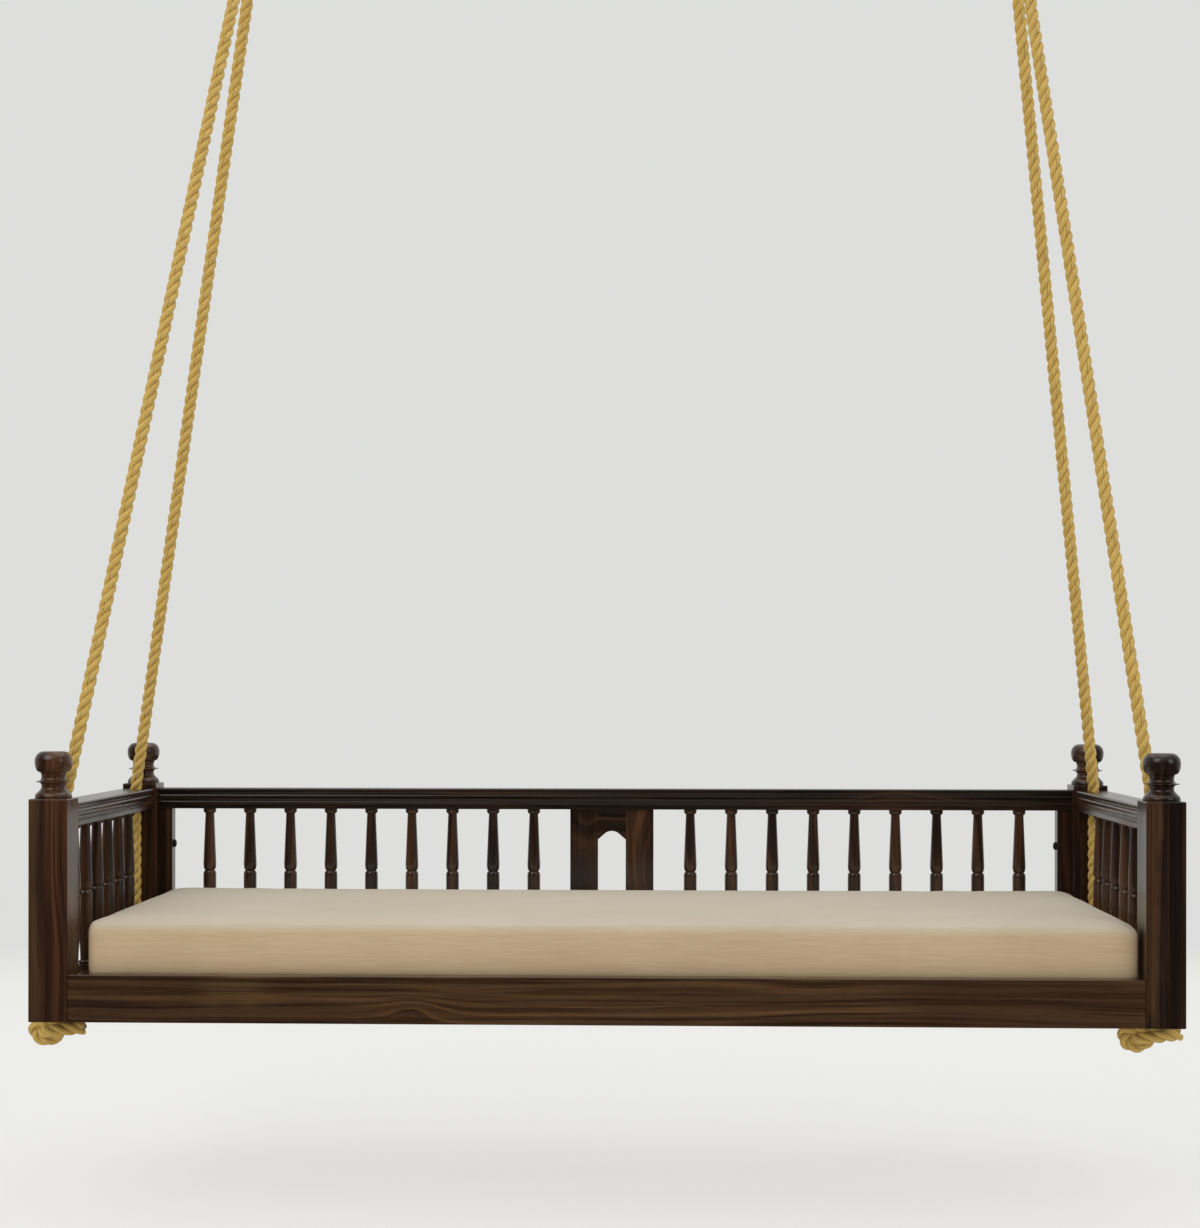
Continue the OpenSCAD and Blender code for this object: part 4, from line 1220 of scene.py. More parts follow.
    def make(self, finishes: Finishes) -> None:
        """Builds the rope: each left one is one piece through the rail's hole to its knot, and each right one parts
        there.
        """
        line = self.line()
        hole = self.hole()
        last = len(line) - 1
        if self.side is Side.LEFT:
            obj = new_object(self.mesh(line, 0, last), f"{self.run}_laid", CEILING_SPACE, Shading.LAID)
            obj.data.materials.append(finishes.rope)
            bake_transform(obj)
            declare(obj, Belonging("bed", (self.run, self.tail), "rope"))
            return
        parting = max(i for i, point in enumerate(line) if point.z > hole.z + self.sizes.tilt_gap)
        for name, body, node, first, end, far_end in (
            ("run", "ropes_right", self.run, 0, parting, "object"),
            ("tail", "bed", self.tail, parting, last, "knot"),
        ):
            obj = new_object(self.mesh(line, first, end), f"{self.run}_{name}", CEILING_SPACE, Shading.LAID)
            publish(obj, finishes.rope, Belonging(body, (node,), "rope"))


# ---- Ceiling hardware ----


@dataclass(frozen=True)
class CeilingHardware:
    """The ceiling plates, the links, the pins, the nuts, the thimbles and the twine seizings, in millimetres."""

    ropes: RopeSizes = ROPE_SIZES
    bed: BedSizes = SIZES
    plate: Point3 = (90.0, 150.0, 8.0)
    corner_r: float = 8.0
    bolt_span: float = 110.0
    bolt_d: float = 11.0
    ear_t: float = 8.0
    ear_r: float = 20.0
    swing_pin_d: float = 12.0
    swing_head_d: float = 22.0
    link_l: float = 60.0
    link_w: float = 24.0
    link_r: float = 15.0
    shank_w: float = 16.0
    side_gap: float = 0.5
    pin_gap: float = 0.05
    head_h: float = 7.0
    nut_h: float = 9.0
    washer_t: float = 2.0
    rope_nut_d: float = 28.0
    retainer_d: float = 33.0
    arris: float = 0.9
    arc_steps: int = 24
    round_steps: int = 64
    forged_voxel: float = 0.9
    drawn: float = 0.5
    drawn_rounds: int = 5
    flat_share: float = 0.84
    chamfer_degrees: float = 30.0
    chamfer_over: float = 0.3
    points_per_turn: int = 36
    twine_press: float = 0.06

    @property
    def swing_half(self) -> float:
        """Half of the width over a plate's two ears."""
        return self.link_w / 2 + self.side_gap + self.ear_t

    @property
    def rope_half(self) -> float:
        """Half of the length that a rope pin carries."""
        return self.link_w / 2 + 2 * self.side_gap + self.ropes.thimble_w

    def hook(self, side: Side, z: float) -> Matrix:
        """A move to a height on a hook's middle line."""
        return moved(side.value * self.bed.hook_span / 2, 0, z)

    def make(self, finishes: Finishes) -> None:
        """Builds every piece."""
        for side in Side:
            label = side.name.lower()
            self.make_plate(side, f"ceiling_plate_{label}", finishes)
            self.make_link(side, f"swing_link_{label}", finishes)
            self.make_rope_pin(side, f"rope_pin_{label}", finishes)
            end = self.hook(side, self.ropes.rope_pin_z) @ moved(0, self.rope_half + self.nut_h / 2, 0)
            self.make_nuts(f"rope_pin_nut_{label}", f"link_{label}", [end @ turned(-90, "X")], self.rope_nut_d,
                           self.ropes.rope_pin_d, finishes, self.retainer_d)
            self.make_thimbles(side, f"thimbles_{label}", finishes)
            self.make_seizings(side, f"seizings_{label}", finishes)
        self.make_swing_pins(finishes)
        self.make_nuts("swing_pin_nuts", "ceiling", [
            self.hook(side, -self.ropes.swing_pin_z) @ moved(self.swing_half + self.nut_h / 2, 0, 0) @ turned(90, "Y")
            for side in Side
        ], self.swing_head_d, self.swing_pin_d, finishes)

    def make_plate(self, side: Side, name: str, finishes: Finishes) -> None:
        """Builds a ceiling plate with the two ears that carry the swing pin."""
        drop = self.ropes.swing_pin_z
        bm = new_box(self.plate, (0, 0, -self.plate[2] / 2), 0.0)
        corners = [e for e in bm.edges if abs((e.verts[0].co - e.verts[1].co).z) > self.plate[2] / 2]
        round_edges(bm, corners, self.corner_r, segments=7)
        round_sharp(bm, self.arris, segments=3)
        top = drop - self.plate[2] / 2
        angles = [math.radians(lerp(180, 360, i / self.arc_steps)) for i in range(self.arc_steps + 1)]
        arc = [(self.ear_r * math.cos(a), self.ear_r * math.sin(a)) for a in angles]
        for end in (-1, 1):
            ear = new_extrusion([(-self.ear_r, top), *arc, (self.ear_r, top)], self.ear_t)
            round_sharp(ear, self.arris, segments=3)
            merge(bm, ear, moved(end * (self.link_w / 2 + self.side_gap + self.ear_t / 2), 0, -drop))
        whole = bmesh.new()
        merge(whole, bm, self.hook(side, 0))
        obj = new_object(whole, f"{name}_forged", CEILING_SPACE, Shading.WORKED)
        bores = bmesh.new()
        for face in Face:
            place = self.hook(side, 0) @ moved(0, face.value * self.bolt_span / 2, 0)
            merge(bores, new_bar(self.bolt_d / 2, 4 * self.plate[2]), place)
        pin = new_bar(self.swing_pin_d / 2 + self.pin_gap, self.plate[0])
        merge(bores, pin, self.hook(side, -drop) @ turned(90, "Y"))
        join(obj, bores, CEILING_SPACE, Joining.TAKE_AWAY, Shading.WORKED)
        publish(obj, finishes.zinc, Belonging("ceiling", (name,), "zinc_steel"))

    def make_link(self, side: Side, name: str, finishes: Finishes) -> None:
        """Builds a forged link, bored along X at its top and along Y at its foot."""
        place = self.hook(side, -self.ropes.swing_pin_z)
        foot = place @ moved(0, 0, -self.link_l)
        bm = bmesh.new()
        for end in (place @ turned(90, "Y"), foot @ turned(90, "X")):
            merge(bm, new_bar(self.link_r, self.link_w, self.round_steps, arris=1.2), end)
        merge(bm, new_box((self.shank_w, self.shank_w, self.link_l), (0, 0, -self.link_l / 2), arris=2.5), place)
        obj = new_object(bm, f"{name}_forged", CEILING_SPACE, Shading.FORGED)
        remesh = obj.modifiers.new("one forging", "REMESH")
        remesh.mode = "VOXEL"
        remesh.voxel_size = self.forged_voxel * MM
        soften = obj.modifiers.new("drawn corners", "SMOOTH")
        soften.factor, soften.iterations = self.drawn, self.drawn_rounds
        apply_modifiers(obj)
        bores = bmesh.new()
        merge(bores, new_bar(self.swing_pin_d / 2 + self.pin_gap, 2 * self.link_w), place @ turned(90, "Y"))
        merge(bores, new_bar(self.ropes.rope_pin_d / 2 + self.pin_gap, 2 * self.link_w), foot @ turned(90, "X"))
        join(obj, bores, CEILING_SPACE, Joining.TAKE_AWAY, Shading.FORGED)
        publish(obj, finishes.zinc, Belonging(f"link_{side.name.lower()}", (name,), "zinc_steel"))

    def headed_pin(self, radius: float, head_r: float, half: float) -> Mesh:
        """A pin along Z with its head below, long enough for its nut."""
        low, top = -half - self.head_h, half + self.nut_h
        return new_turning(outline((0, low), [
            Cut(Turn.LINE, head_r - 2.0, low), Cut(Turn.COVE, head_r, low + 2.0), Cut(Turn.LINE, head_r, -half - 0.6),
            Cut(Turn.ROUND, head_r - 0.6, -half), Cut(Turn.LINE, radius, -half), Cut(Turn.LINE, radius, top - 1.2),
            Cut(Turn.LINE, radius - 1.2, top), Cut(Turn.LINE, 0, top),
        ], step=0.6), steps=40)

    def make_swing_pins(self, finishes: Finishes) -> None:
        """Builds the two pins that the bed swings on."""
        bm = bmesh.new()
        for side in Side:
            pin = self.headed_pin(self.swing_pin_d / 2, self.swing_head_d / 2, self.swing_half)
            merge(bm, pin, self.hook(side, -self.ropes.swing_pin_z) @ turned(90, "Y"))
        obj = new_object(bm, "swing_pins_turned", CEILING_SPACE, Shading.SECTION)
        publish(obj, finishes.black, Belonging("ceiling", ("swing_pins",), "black_steel"))

    def make_rope_pin(self, side: Side, name: str, finishes: Finishes) -> None:
        """Builds the pin that carries a pair of thimbles."""
        bm = bmesh.new()
        pin = self.headed_pin(self.ropes.rope_pin_d / 2, self.retainer_d / 2, self.rope_half)
        merge(bm, pin, self.hook(side, self.ropes.rope_pin_z) @ turned(-90, "X"))
        obj = new_object(bm, f"{name}_turned", CEILING_SPACE, Shading.SECTION)
        publish(obj, finishes.black, Belonging(f"link_{side.name.lower()}", (name,), "black_steel"))

    def make_nuts(self, name: str, body: str, places: Sequence[Matrix], width: float, bore: float, finishes: Finishes,
                  washer: float = 0.0) -> None:
        """Builds hexagon nuts with chamfered corners.

        Args:
            name: The CAD node that they stand for.
            body: What they move with.
            places: Each nut's middle, its axis along Z.
            width: Distance over the corners.
            bore: The pin's diameter.
            finishes: The materials.
            washer: Diameter of the washer under the nut, or nothing.
        """
        whole = bmesh.new()
        for place in places:
            nut = self.forge_nut(place, width, bore, washer)
            whole.from_mesh(nut)
            bpy.data.meshes.remove(nut)
        obj = new_object(whole, f"{name}_forged", Matrix.Identity(4), Shading.NUT)
        publish(obj, finishes.black, Belonging(body, (name,), "black_steel"))

    def forge_nut(self, place: Matrix, width: float, bore: float, washer: float) -> bpy.types.Mesh:
        """One nut's mesh in the shared frame; each is cut by itself, because a joint cut can lose one."""
        half, flat, wide = self.nut_h / 2, width / 2 * self.flat_share, width / 2 + self.chamfer_over
        slope = (wide - flat) * math.tan(math.radians(self.chamfer_degrees))
        nut = new_object(placed(place, new_bar(width / 2, self.nut_h, segments=6)), "nut", CEILING_SPACE, Shading.NUT)
        disc = new_turning([
            (0, -half), (flat, -half), (wide, slope - half), (wide, half - slope), (flat, half), (0, half),
        ], self.round_steps)
        join(nut, placed(place, disc), CEILING_SPACE, Joining.KEEP_COMMON, Shading.NUT)
        if washer:
            ring = new_bar(washer / 2, self.washer_t, segments=56, arris=0.4)
            ring = placed(place @ moved(0, 0, self.washer_t / 2 - half), ring)
            join(nut, ring, CEILING_SPACE, Joining.ADD, Shading.NUT)
        hole = new_bar(bore / 2 + self.pin_gap, 3 * self.nut_h)
        join(nut, placed(place, hole), CEILING_SPACE, Joining.TAKE_AWAY, Shading.NUT)
        mesh = nut.data
        bpy.data.objects.remove(nut)
        return mesh

    def make_thimbles(self, side: Side, name: str, finishes: Finishes) -> None:
        """Builds the two grooved rings inside a side's eyes."""
        r = self.ropes
        inner, half, lip = r.thimble_d / 2, r.thimble_w / 2, 0.6
        outer = inner + r.thimble_t + r.thimble_grip * r.rope_d / 2
        groove = r.rope_d / 2 + r.joint_gap
        reach = math.acos((r.eye_r - outer) / groove)
        angles = [lerp(-reach, reach, i / self.arc_steps) for i in range(self.arc_steps + 1)]
        arc = [(r.eye_r - groove * math.cos(a), groove * math.sin(a)) for a in angles]
        section = [(inner, lip - half), (inner + lip, -half), (outer - lip, -half), (outer, lip - half), *arc,
                   (outer, half - lip), (outer - lip, half), (inner + lip, half), (inner, half - lip)]
        bm = bmesh.new()
        for face in Face:
            eye = Rope(side, face, r, self.bed).eye()
            merge(bm, new_turning([*section, section[0]], self.round_steps), Matrix.Translation(eye) @ turned(90, "X"))
        obj = new_object(bm, f"{name}_pressed", CEILING_SPACE, Shading.WORKED)
        publish(obj, finishes.zinc, Belonging(f"ropes_{side.name.lower()}", (name,), "zinc_steel"))

    def make_seizings(self, side: Side, name: str, finishes: Finishes) -> None:
        """Winds twine round the two legs under each of a side's eyes."""
        r = self.ropes
        radius = r.rope_d / 2 + r.joint_gap + r.twine_d / 2
        turns = int((r.seizing_h - r.twine_d) / r.twine_d)
        bm = bmesh.new()
        for face in Face:
            rope = Rope(side, face, r, self.bed)
            line = []
            for i in range(turns * self.points_per_turn + 1):
                turn = i / self.points_per_turn
                across, out = self.round_legs(turn, radius)
                along = r.throat_l + r.seizing_drop + r.twine_d / 2 + turn * r.twine_d
                line.append(rope.eye_plane(across, along) + Vector((0, out, 0)))
            merge(bm, new_tube(line, r.twine_d / 2 + self.twine_press, sides=7, across=rope.pull()), Matrix.Identity(4))
        obj = new_object(bm, f"{name}_wound", CEILING_SPACE, Shading.LAID)
        publish(obj, finishes.twine, Belonging(f"ropes_{side.name.lower()}", (name,), "twine"))

    def round_legs(self, turn: float, radius: float) -> Point2:
        """Where twine is, across the legs and out from them, after so many turns round both."""
        leg = self.ropes.leg_a
        straight, bend = 2 * leg, math.pi * radius
        at = (turn % 1.0) * 2 * (straight + bend)
        back = at >= straight + bend
        at -= (straight + bend) if back else 0.0
        if at < straight:
            across, out = at - leg, -radius
        else:
            angle = (at - straight) / radius - math.pi / 2
            across, out = leg + radius * math.cos(angle), radius * math.sin(angle)
        return (-across, -out) if back else (across, out)


# ---- Posts ----


@dataclass(frozen=True)
class Post:
    """A square post with its turned finial."""

    side: Side
    face: Face
    wood: StainedWood
    sizes: BedSizes = SIZES
    arris: float = 2.2

    def finial(self) -> list[Point2]:
        """The finial's outline above the shoulder."""
        return outline((0, -4), [
            Cut(Turn.LINE, 30.8, -4), Cut(Turn.LINE, 31.2, 0), Cut(Turn.COVE, 32, 0.8), Cut(Turn.LINE, 32, 3.57),
            Cut(Turn.OGEE, 21, 20), Cut(Turn.LINE, 21, 23.4), Cut(Turn.ROUND, 29.2, 28.8),
            Cut(Turn.COVE, 30, 29.6), Cut(Turn.ROUND, 29.2, 30.4), Cut(Turn.COVE, 21, 36.8),
            Cut(Turn.LINE, 21, 37.6), Cut(Turn.ROUND, 23.9, 46.4), Cut(Turn.COVE, 32.5, 63.7),
            Cut(Turn.LINE, 32.5, 65.3),
            Cut(Turn.ROUND, 17, 83), Cut(Turn.LINE, 0, 83),
        ], step=1.2)

    def make(self, finishes: Finishes) -> None:
        """Builds the post and gives it to the bed."""
        s = self.sizes
        x, y = self.side.value * s.post_cx, self.face.value * s.post_cy
        bm = new_box((s.post_w, s.post_w, s.post_h), (x, y, s.post_h / 2), self.arris)
        merge(bm, new_turning(self.finial(), steps=64), moved(x, y, s.post_h))
        name = f"post_{self.face.name.lower()}_{self.side.name.lower()}"
        obj = new_object(bm, f"{name}_turned", BED_SPACE, Shading.WORKED)
        weighted(obj)
        finishes.stain(obj, name, self.wood)


# ---- Rails ----


@dataclass(frozen=True)
class Rails:
    """The bottom rails and the moulded top rails."""

    sizes: BedSizes = SIZES
    bore_past: float = 4.0
    underside_in: float = 1.2
    # Each stretch of the moulding: how it turns, then its share of the moulding's depth and of its height
    mould: tuple[tuple[Turn, float, float], ...] = (
        (Turn.COVE, 1.0, 0.02), (Turn.LINE, 1.0, 0.22), (Turn.COVE, 0.43, 0.30), (Turn.ROUND, 0.73, 0.37),
        (Turn.LINE, 0.73, 0.40), (Turn.COVE, 0.0, 0.52), (Turn.LINE, 0.0, 0.59), (Turn.ROUND, 0.6, 0.70),
        (Turn.LINE, 0.6, 0.74), (Turn.COVE, 0.0, 0.83), (Turn.LINE, 0.0, 0.93), (Turn.ROUND, 0.8, 1.0),
    )

    def moulding(self, width: float) -> list[Point2]:
        """A moulded rail's section, width across and from its underside up."""
        s = self.sizes
        cuts = [Cut(turn, width / 2 - deep * s.mould_depth, high * s.top_rail_h) for turn, deep, high in self.mould]
        half = outline((width / 2 - self.underside_in * s.mould_depth, 0), cuts, step=0.7)
        return half + [(-r, z) for r, z in reversed(half)]

    def make_plain(self, name: str, size: Sequence[float], centre: Sequence[float], wood: StainedWood,
                   finishes: Finishes, holes: Sequence[Point2] = ()) -> None:
        """Builds one bottom rail.

        Args:
            name: The CAD node that it stands for.
            size: Its size along X, Y and Z.
            centre: Its middle.
            wood: Its wood.
            finishes: The materials.
            holes: X and Y of the ropes' holes in it.
        """
        obj = new_object(new_box(size, centre, arris=1.4), f"{name}_planed", BED_SPACE, Shading.WORKED)
        self.bore(obj, holes, 0, size[2])
        weighted(obj)
        finishes.stain(obj, name, wood)

    def bore(self, obj: bpy.types.Object, holes: Sequence[Point2], low: float, high: float) -> None:
        """Bores the ropes' holes through a rail."""
        if not holes:
            return
        bores = bmesh.new()
        for x, y in holes:
            tool = new_bar(self.sizes.rope_d / 2 + self.sizes.rope_hole_gap, high - low + 2 * self.bore_past, 56)
            merge(bores, tool, moved(x, y, (low + high) / 2))
        join(obj, bores, BED_SPACE, Joining.TAKE_AWAY)

    def make_moulded(self, name: str, length: float, width: float, place: Matrix, wood: StainedWood,
                     finishes: Finishes, holes: Sequence[Point2] = ()) -> None:
        """Builds one moulded top rail, placed by a move or a turn of its own frame."""
        bm = bmesh.new()
        merge(bm, new_extrusion(self.moulding(width), length), place)
        obj = new_object(bm, f"{name}_moulded", BED_SPACE, Shading.SECTION)
        self.bore(obj, holes, self.sizes.top_rail_z, self.sizes.top_z)
        finishes.stain(obj, name, wood)

    def front_wood(self) -> StainedWood:
        """The front rail's board: lighter above, with a golden part and a knot, and darker toward the right end and at
        the lower left.
        """
        return StainedWood(
            "walnut front rail", Grain.ALONG_X, 3.0, (19, 10, 5), (47, 28, 15), (96, 65, 35), streaks=0.90, lift=-0.38,
            patches=(
                Patch((-960, -360, 40), (960, -300, 96), (84, 57, 29), 0.55, (12, 12, 14), 9.0, 0.85),
                Patch((-700, -360, 30), (-588, -300, 96), (108, 80, 43), 0.42, (34, 12, 18), 12.0, 0.8),
                Patch((520, -360, -10), (960, -300, 96), (44, 25, 13), 0.62, (90, 12, 16), 14.0, 0.6),
                Patch((-960, -360, -10), (-420, -300, 36), (38, 20, 10), 0.6, (60, 12, 12), 10.0, 0.6),
            ),
            knot=(-331, -331, 27), knot_size=20.0,
        )

    def make(self, finishes: Finishes) -> None:
        """Builds every rail."""
        s = self.sizes
        back = StainedWood("walnut back rail", Grain.ALONG_X, 5.0)
        self.make_plain("front_rail", (2 * s.inner_x, s.front_rail_t, s.front_rail_h),
                        (0, s.front_rail_y, s.front_rail_h / 2), self.front_wood(), finishes)
        self.make_plain("back_rail", (2 * s.inner_x, s.back_rail_t, s.low_rail_h), (0, s.post_cy, s.low_rail_h / 2),
                        back, finishes)
        self.make_moulded("top_rail_back", 2 * s.inner_x, s.back_top_w, moved(0, s.post_cy, s.top_rail_z),
                          StainedWood("walnut back top rail", Grain.ALONG_X, 8.0, lift=-0.42), finishes)
        for side in Side:
            x = side.value * s.post_cx
            holes = [(x, face.value * s.rope_y) for face in Face]
            name = side.name.lower()
            low = StainedWood(f"walnut side rail {name}", Grain.ALONG_Y, 11.0 + side.value)
            self.make_plain(f"side_rail_{name}", (s.side_rail_t, 2 * s.inner_y, s.low_rail_h), (x, 0, s.low_rail_h / 2),
                            low, finishes, holes)
            high = StainedWood(f"walnut side top rail {name}", Grain.ALONG_Y, 15.0 + side.value)
            self.make_moulded(f"top_rail_{name}", 2 * s.inner_y, s.side_top_w,
                              moved(x, 0, s.top_rail_z) @ turned(90, "Z"), high, finishes, holes)


# ---- Back panel and sides ----


@dataclass(frozen=True)
class Spindle:
    """A turned spindle, its waist at the origin."""

    d: float = 26.5
    neck_d: float = 18.0
    waist_d: float = 19.0
    up: float = 128.0
    down: float = 148.0

    def points(self) -> list[Point2]:
        """Its outline from the bottom to the top."""
        r, n, w = self.d / 2, self.neck_d / 2, self.waist_d / 2
        return outline((0, -self.down), [
            Cut(Turn.LINE, r - 0.8, -self.down), Cut(Turn.COVE, r, -self.down + 0.8), Cut(Turn.LINE, r, -138.8),
            Cut(Turn.ROUND, n + 0.8, -138), Cut(Turn.COVE, r - 0.8, -134.5), Cut(Turn.ROUND, n, -131),
            Cut(Turn.OGEE, r, -41), Cut(Turn.LINE, r, -9), Cut(Turn.ROUND, w, -0.4), Cut(Turn.LINE, w, 0.4),
            Cut(Turn.COVE, r, 14), Cut(Turn.LINE, n, 118), Cut(Turn.COVE, r, 125), Cut(Turn.LINE, r, self.up - 0.5),
            Cut(Turn.ROUND, r - 0.5, self.up), Cut(Turn.LINE, 0, self.up),
        ], step=1.5)


@dataclass(frozen=True)
class BackPanel:
    """The spindles, the splat, the stiles and their bolts, in millimetres."""

    sizes: BedSizes = SIZES
    back_first: float = 161.0
    back_pitch: float = 84.0
    back_count: int = 9
    side_pitch: float = 76.0
    side_count: int = 6
    waist_down: float = 128.0
    stile_w: float = 29.0
    stile_t: float = 28.0
    splat_w: float = 57.0
    splat_gap: float = 57.0
    splat_t: float = 20.0
    arch_h: float = 62.0
    arch_slope: float = 41.0
    arch_r: float = 22.0
    arch_steps: int = 18
    bolt_heights: Point2 = (266.0, 150.0)
    bolt_d: float = 8.0
    bolt_reach: float = 30.0
    bolt_head_r: float = 8.0
    bolt_head_h: float = 6.0

    def make_spindles(self, name: str, places: Sequence[Point2], wood: StainedWood, finishes: Finishes) -> None:
        """Builds a row of spindles as one piece."""
        one = new_turning(Spindle().points(), steps=32)
        row = bmesh.new()
        for x, y in places:
            merge(row, one, moved(x, y, self.sizes.top_rail_z - self.waist_down), keep=True)
        one.free()
        obj = new_object(row, f"{name}_turned", BED_SPACE, Shading.WORKED)
        finishes.stain(obj, name, wood)

    def make_block(self, name: str, size: Sequence[float], centre: Sequence[float], wood: StainedWood,
                   finishes: Finishes) -> None:
        """Builds a plain upright board."""
        obj = new_object(new_box(size, centre, arris=1.0, segments=2), f"{name}_planed", BED_SPACE, Shading.WORKED)
        weighted(obj)
        finishes.stain(obj, name, wood)

    def arch(self) -> list[Point2]:
        """The underside of an arched block, from its right foot over the round top to its left foot."""
        slope, half = math.radians(self.arch_slope), self.splat_gap / 2
        top = half * math.tan(slope) - self.arch_r * (1 / math.cos(slope) - 1)
        angles = [lerp(slope, -slope, i / self.arch_steps) for i in range(self.arch_steps + 1)]
        crown = [(self.arch_r * math.sin(a), top - self.arch_r * (1 - math.cos(a))) for a in angles]
        return [(half, 0.0), *crown, (-half, 0.0)]

    def make_arch(self, name: str, foot_z: float, up: int, wood: StainedWood, finishes: Finishes) -> None:
        """Builds an arched block; up is 1 where the block lies above its arch and -1 where it lies below."""
        half = self.splat_gap / 2
        section = [(half, self.arch_h), *self.arch(), (-half, self.arch_h)]
        bm = new_extrusion([(x, up * z) for x, z in section], self.splat_t)
        made = bmesh.new()
        merge(made, bm, moved(0, self.sizes.post_cy, foot_z) @ turned(90, "Z"))
        obj = new_object(made, f"{name}_sawn", BED_SPACE, Shading.SECTION)
        finishes.stain(obj, name, wood)

    def make_bolts(self, finishes: Finishes) -> None:
        """Builds the round-headed bolts that hold the stiles to the back posts."""
        s, r, h = self.sizes, self.bolt_head_r, self.bolt_head_h
        shank = -(self.stile_w + self.bolt_reach)
        points = outline((0, shank), [
            Cut(Turn.LINE, self.bolt_d / 2, shank), Cut(Turn.LINE, self.bolt_d / 2, 0), Cut(Turn.LINE, r - 0.8, 0),
            Cut(Turn.COVE, r, h / 4), Cut(Turn.LINE, r, h / 3), Cut(Turn.ROUND, 0, h),
        ], step=0.5)
        bm = bmesh.new()
        for side in Side:
            for z in self.bolt_heights:
                place = moved(side.value * (s.inner_x - self.stile_w), s.post_cy, z) @ turned(-90 * side.value, "Y")
                merge(bm, new_turning(points, steps=36), place)
        obj = new_object(bm, "stile_bolts_forged", BED_SPACE, Shading.SECTION)
        publish(obj, finishes.black, Belonging("bed", ("stile_bolts",), "black_steel"))

    def make(self, finishes: Finishes) -> None:
        """Builds the back panel and the side spindles."""
        s = self.sizes
        upright = (s.low_rail_h + s.top_rail_z) / 2
        height = s.top_rail_z - s.low_rail_h
        for side in Side:
            label = side.name.lower()
            turned_wood = StainedWood("walnut turned", Grain.ALONG_Z, 21.0, lift=-0.22, coat=0.35)
            back = [(side.value * (self.back_first + i * self.back_pitch), s.post_cy) for i in range(self.back_count)]
            self.make_spindles(f"back_spindles_{label}", back, turned_wood, finishes)
            first = -(self.side_count - 1) / 2
            ends = [(side.value * s.post_cx, (first + i) * self.side_pitch) for i in range(self.side_count)]
            self.make_spindles(f"side_spindles_{label}", ends, turned_wood, finishes)
            lift = -0.22 + 0.10 * side.value
            board = StainedWood(f"walnut splat {label}", Grain.ALONG_Z, 31.0 + side.value, lift=lift)
            middle = side.value * (self.splat_gap + self.splat_w) / 2
            self.make_block(f"splat_board_{label}", (self.splat_w, self.splat_t, height), (middle, s.post_cy, upright),
                            board, finishes)
            stile = StainedWood(f"walnut stile {label}", Grain.ALONG_Z, 41.0 + side.value)
            self.make_block(f"stile_{label}", (self.stile_w, self.stile_t, height),
                            (side.value * (s.inner_x - self.stile_w / 2), s.post_cy, upright), stile, finishes)
        arch = StainedWood("walnut arch", Grain.ALONG_X, 35.0, lift=-0.34)
        self.make_arch("splat_arch_upper", s.top_rail_z - self.arch_h, 1, arch, finishes)
        self.make_arch("splat_arch_lower", s.low_rail_h + self.arch_h, -1, arch, finishes)
        self.make_bolts(finishes)


# ---- Deck ----


@dataclass(frozen=True)
class Deck:
    """The slats, the bearer, the cleats and their screws, in millimetres."""

    sizes: BedSizes = SIZES
    count: int = 14
    slat_w: float = 70.0
    slat_t: float = 18.0
    end_gap: float = 6.0
    side_gap: float = 0.5
    cleat_w: float = 25.0
    cleat_gap: float = 4.0
    bearer_w: float = 40.0
    bearer_h: float = 32.0

    def pine(self, name: str, grain: Grain, seed: float) -> StainedWood:
        """Plain oiled pine."""
        return StainedWood(name, grain, seed, (168, 128, 80), (203, 167, 116), (226, 196, 148), 120.0, 0.30, 0.55, 0.45,
                           -0.16, roughness=0.55, specular=0.4, coat=0.0)

    def make(self, finishes: Finishes) -> None:
        """Builds the deck."""
        s = self.sizes
        rail_in = s.post_cx - s.side_rail_t / 2
        y0, y1 = s.front_rail_back + self.side_gap, s.back_rail_front - self.side_gap
        run = s.inner_x - self.slat_w / 2 - self.end_gap
        slats = bmesh.new()
        for i in range(self.count):
            x = lerp(-run, run, i / (self.count - 1))
            centre = (x, (y0 + y1) / 2, s.low_rail_h - self.slat_t / 2)
            slat = new_box((self.slat_w, y1 - y0, self.slat_t), centre, arris=1.5, segments=2)
            merge(slats, slat, Matrix.Identity(4))
        slats_piece = new_object(slats, "slats_planed", BED_SPACE, Shading.WORKED)
        weighted(slats_piece)
        across = finishes.wood(self.pine("pine", Grain.ALONG_Y, 51.0))
        publish(slats_piece, across, Belonging("bed", ("slats",), "plain_wood"))
        under = s.low_rail_h - self.slat_t
        cleat_l = 2 * (s.inner_x - self.cleat_gap)
        along = finishes.wood(self.pine("pine along", Grain.ALONG_X, 53.0))
        half = self.cleat_w / 2
        for name, length, width, height, y in (
            ("bearer", 2 * rail_in, self.bearer_w, self.bearer_h, (y0 + y1) / 2),
            ("cleat_front", cleat_l, self.cleat_w, self.cleat_w, s.front_rail_back + half),
            ("cleat_back", cleat_l, self.cleat_w, self.cleat_w, s.back_rail_front - half),
        ):
            box = new_box((length, width, height), (0, y, under - height / 2), arris=1.2, segments=2)
            obj = new_object(box, f"{name}_planed", BED_SPACE, Shading.WORKED)
            weighted(obj)
            publish(obj, along, Belonging("bed", (name,), "plain_wood"))
        for name in ("slat_screws", "cleat_screws"):
            dress_node(name, finishes.zinc)


# ---- Mattress ----


@dataclass(frozen=True)
class Pucker:
    """A small gather in the cover's edge, in the bed's millimetres."""

    place: Point3
    width: float
    depth: float
    reach: float = 26.0


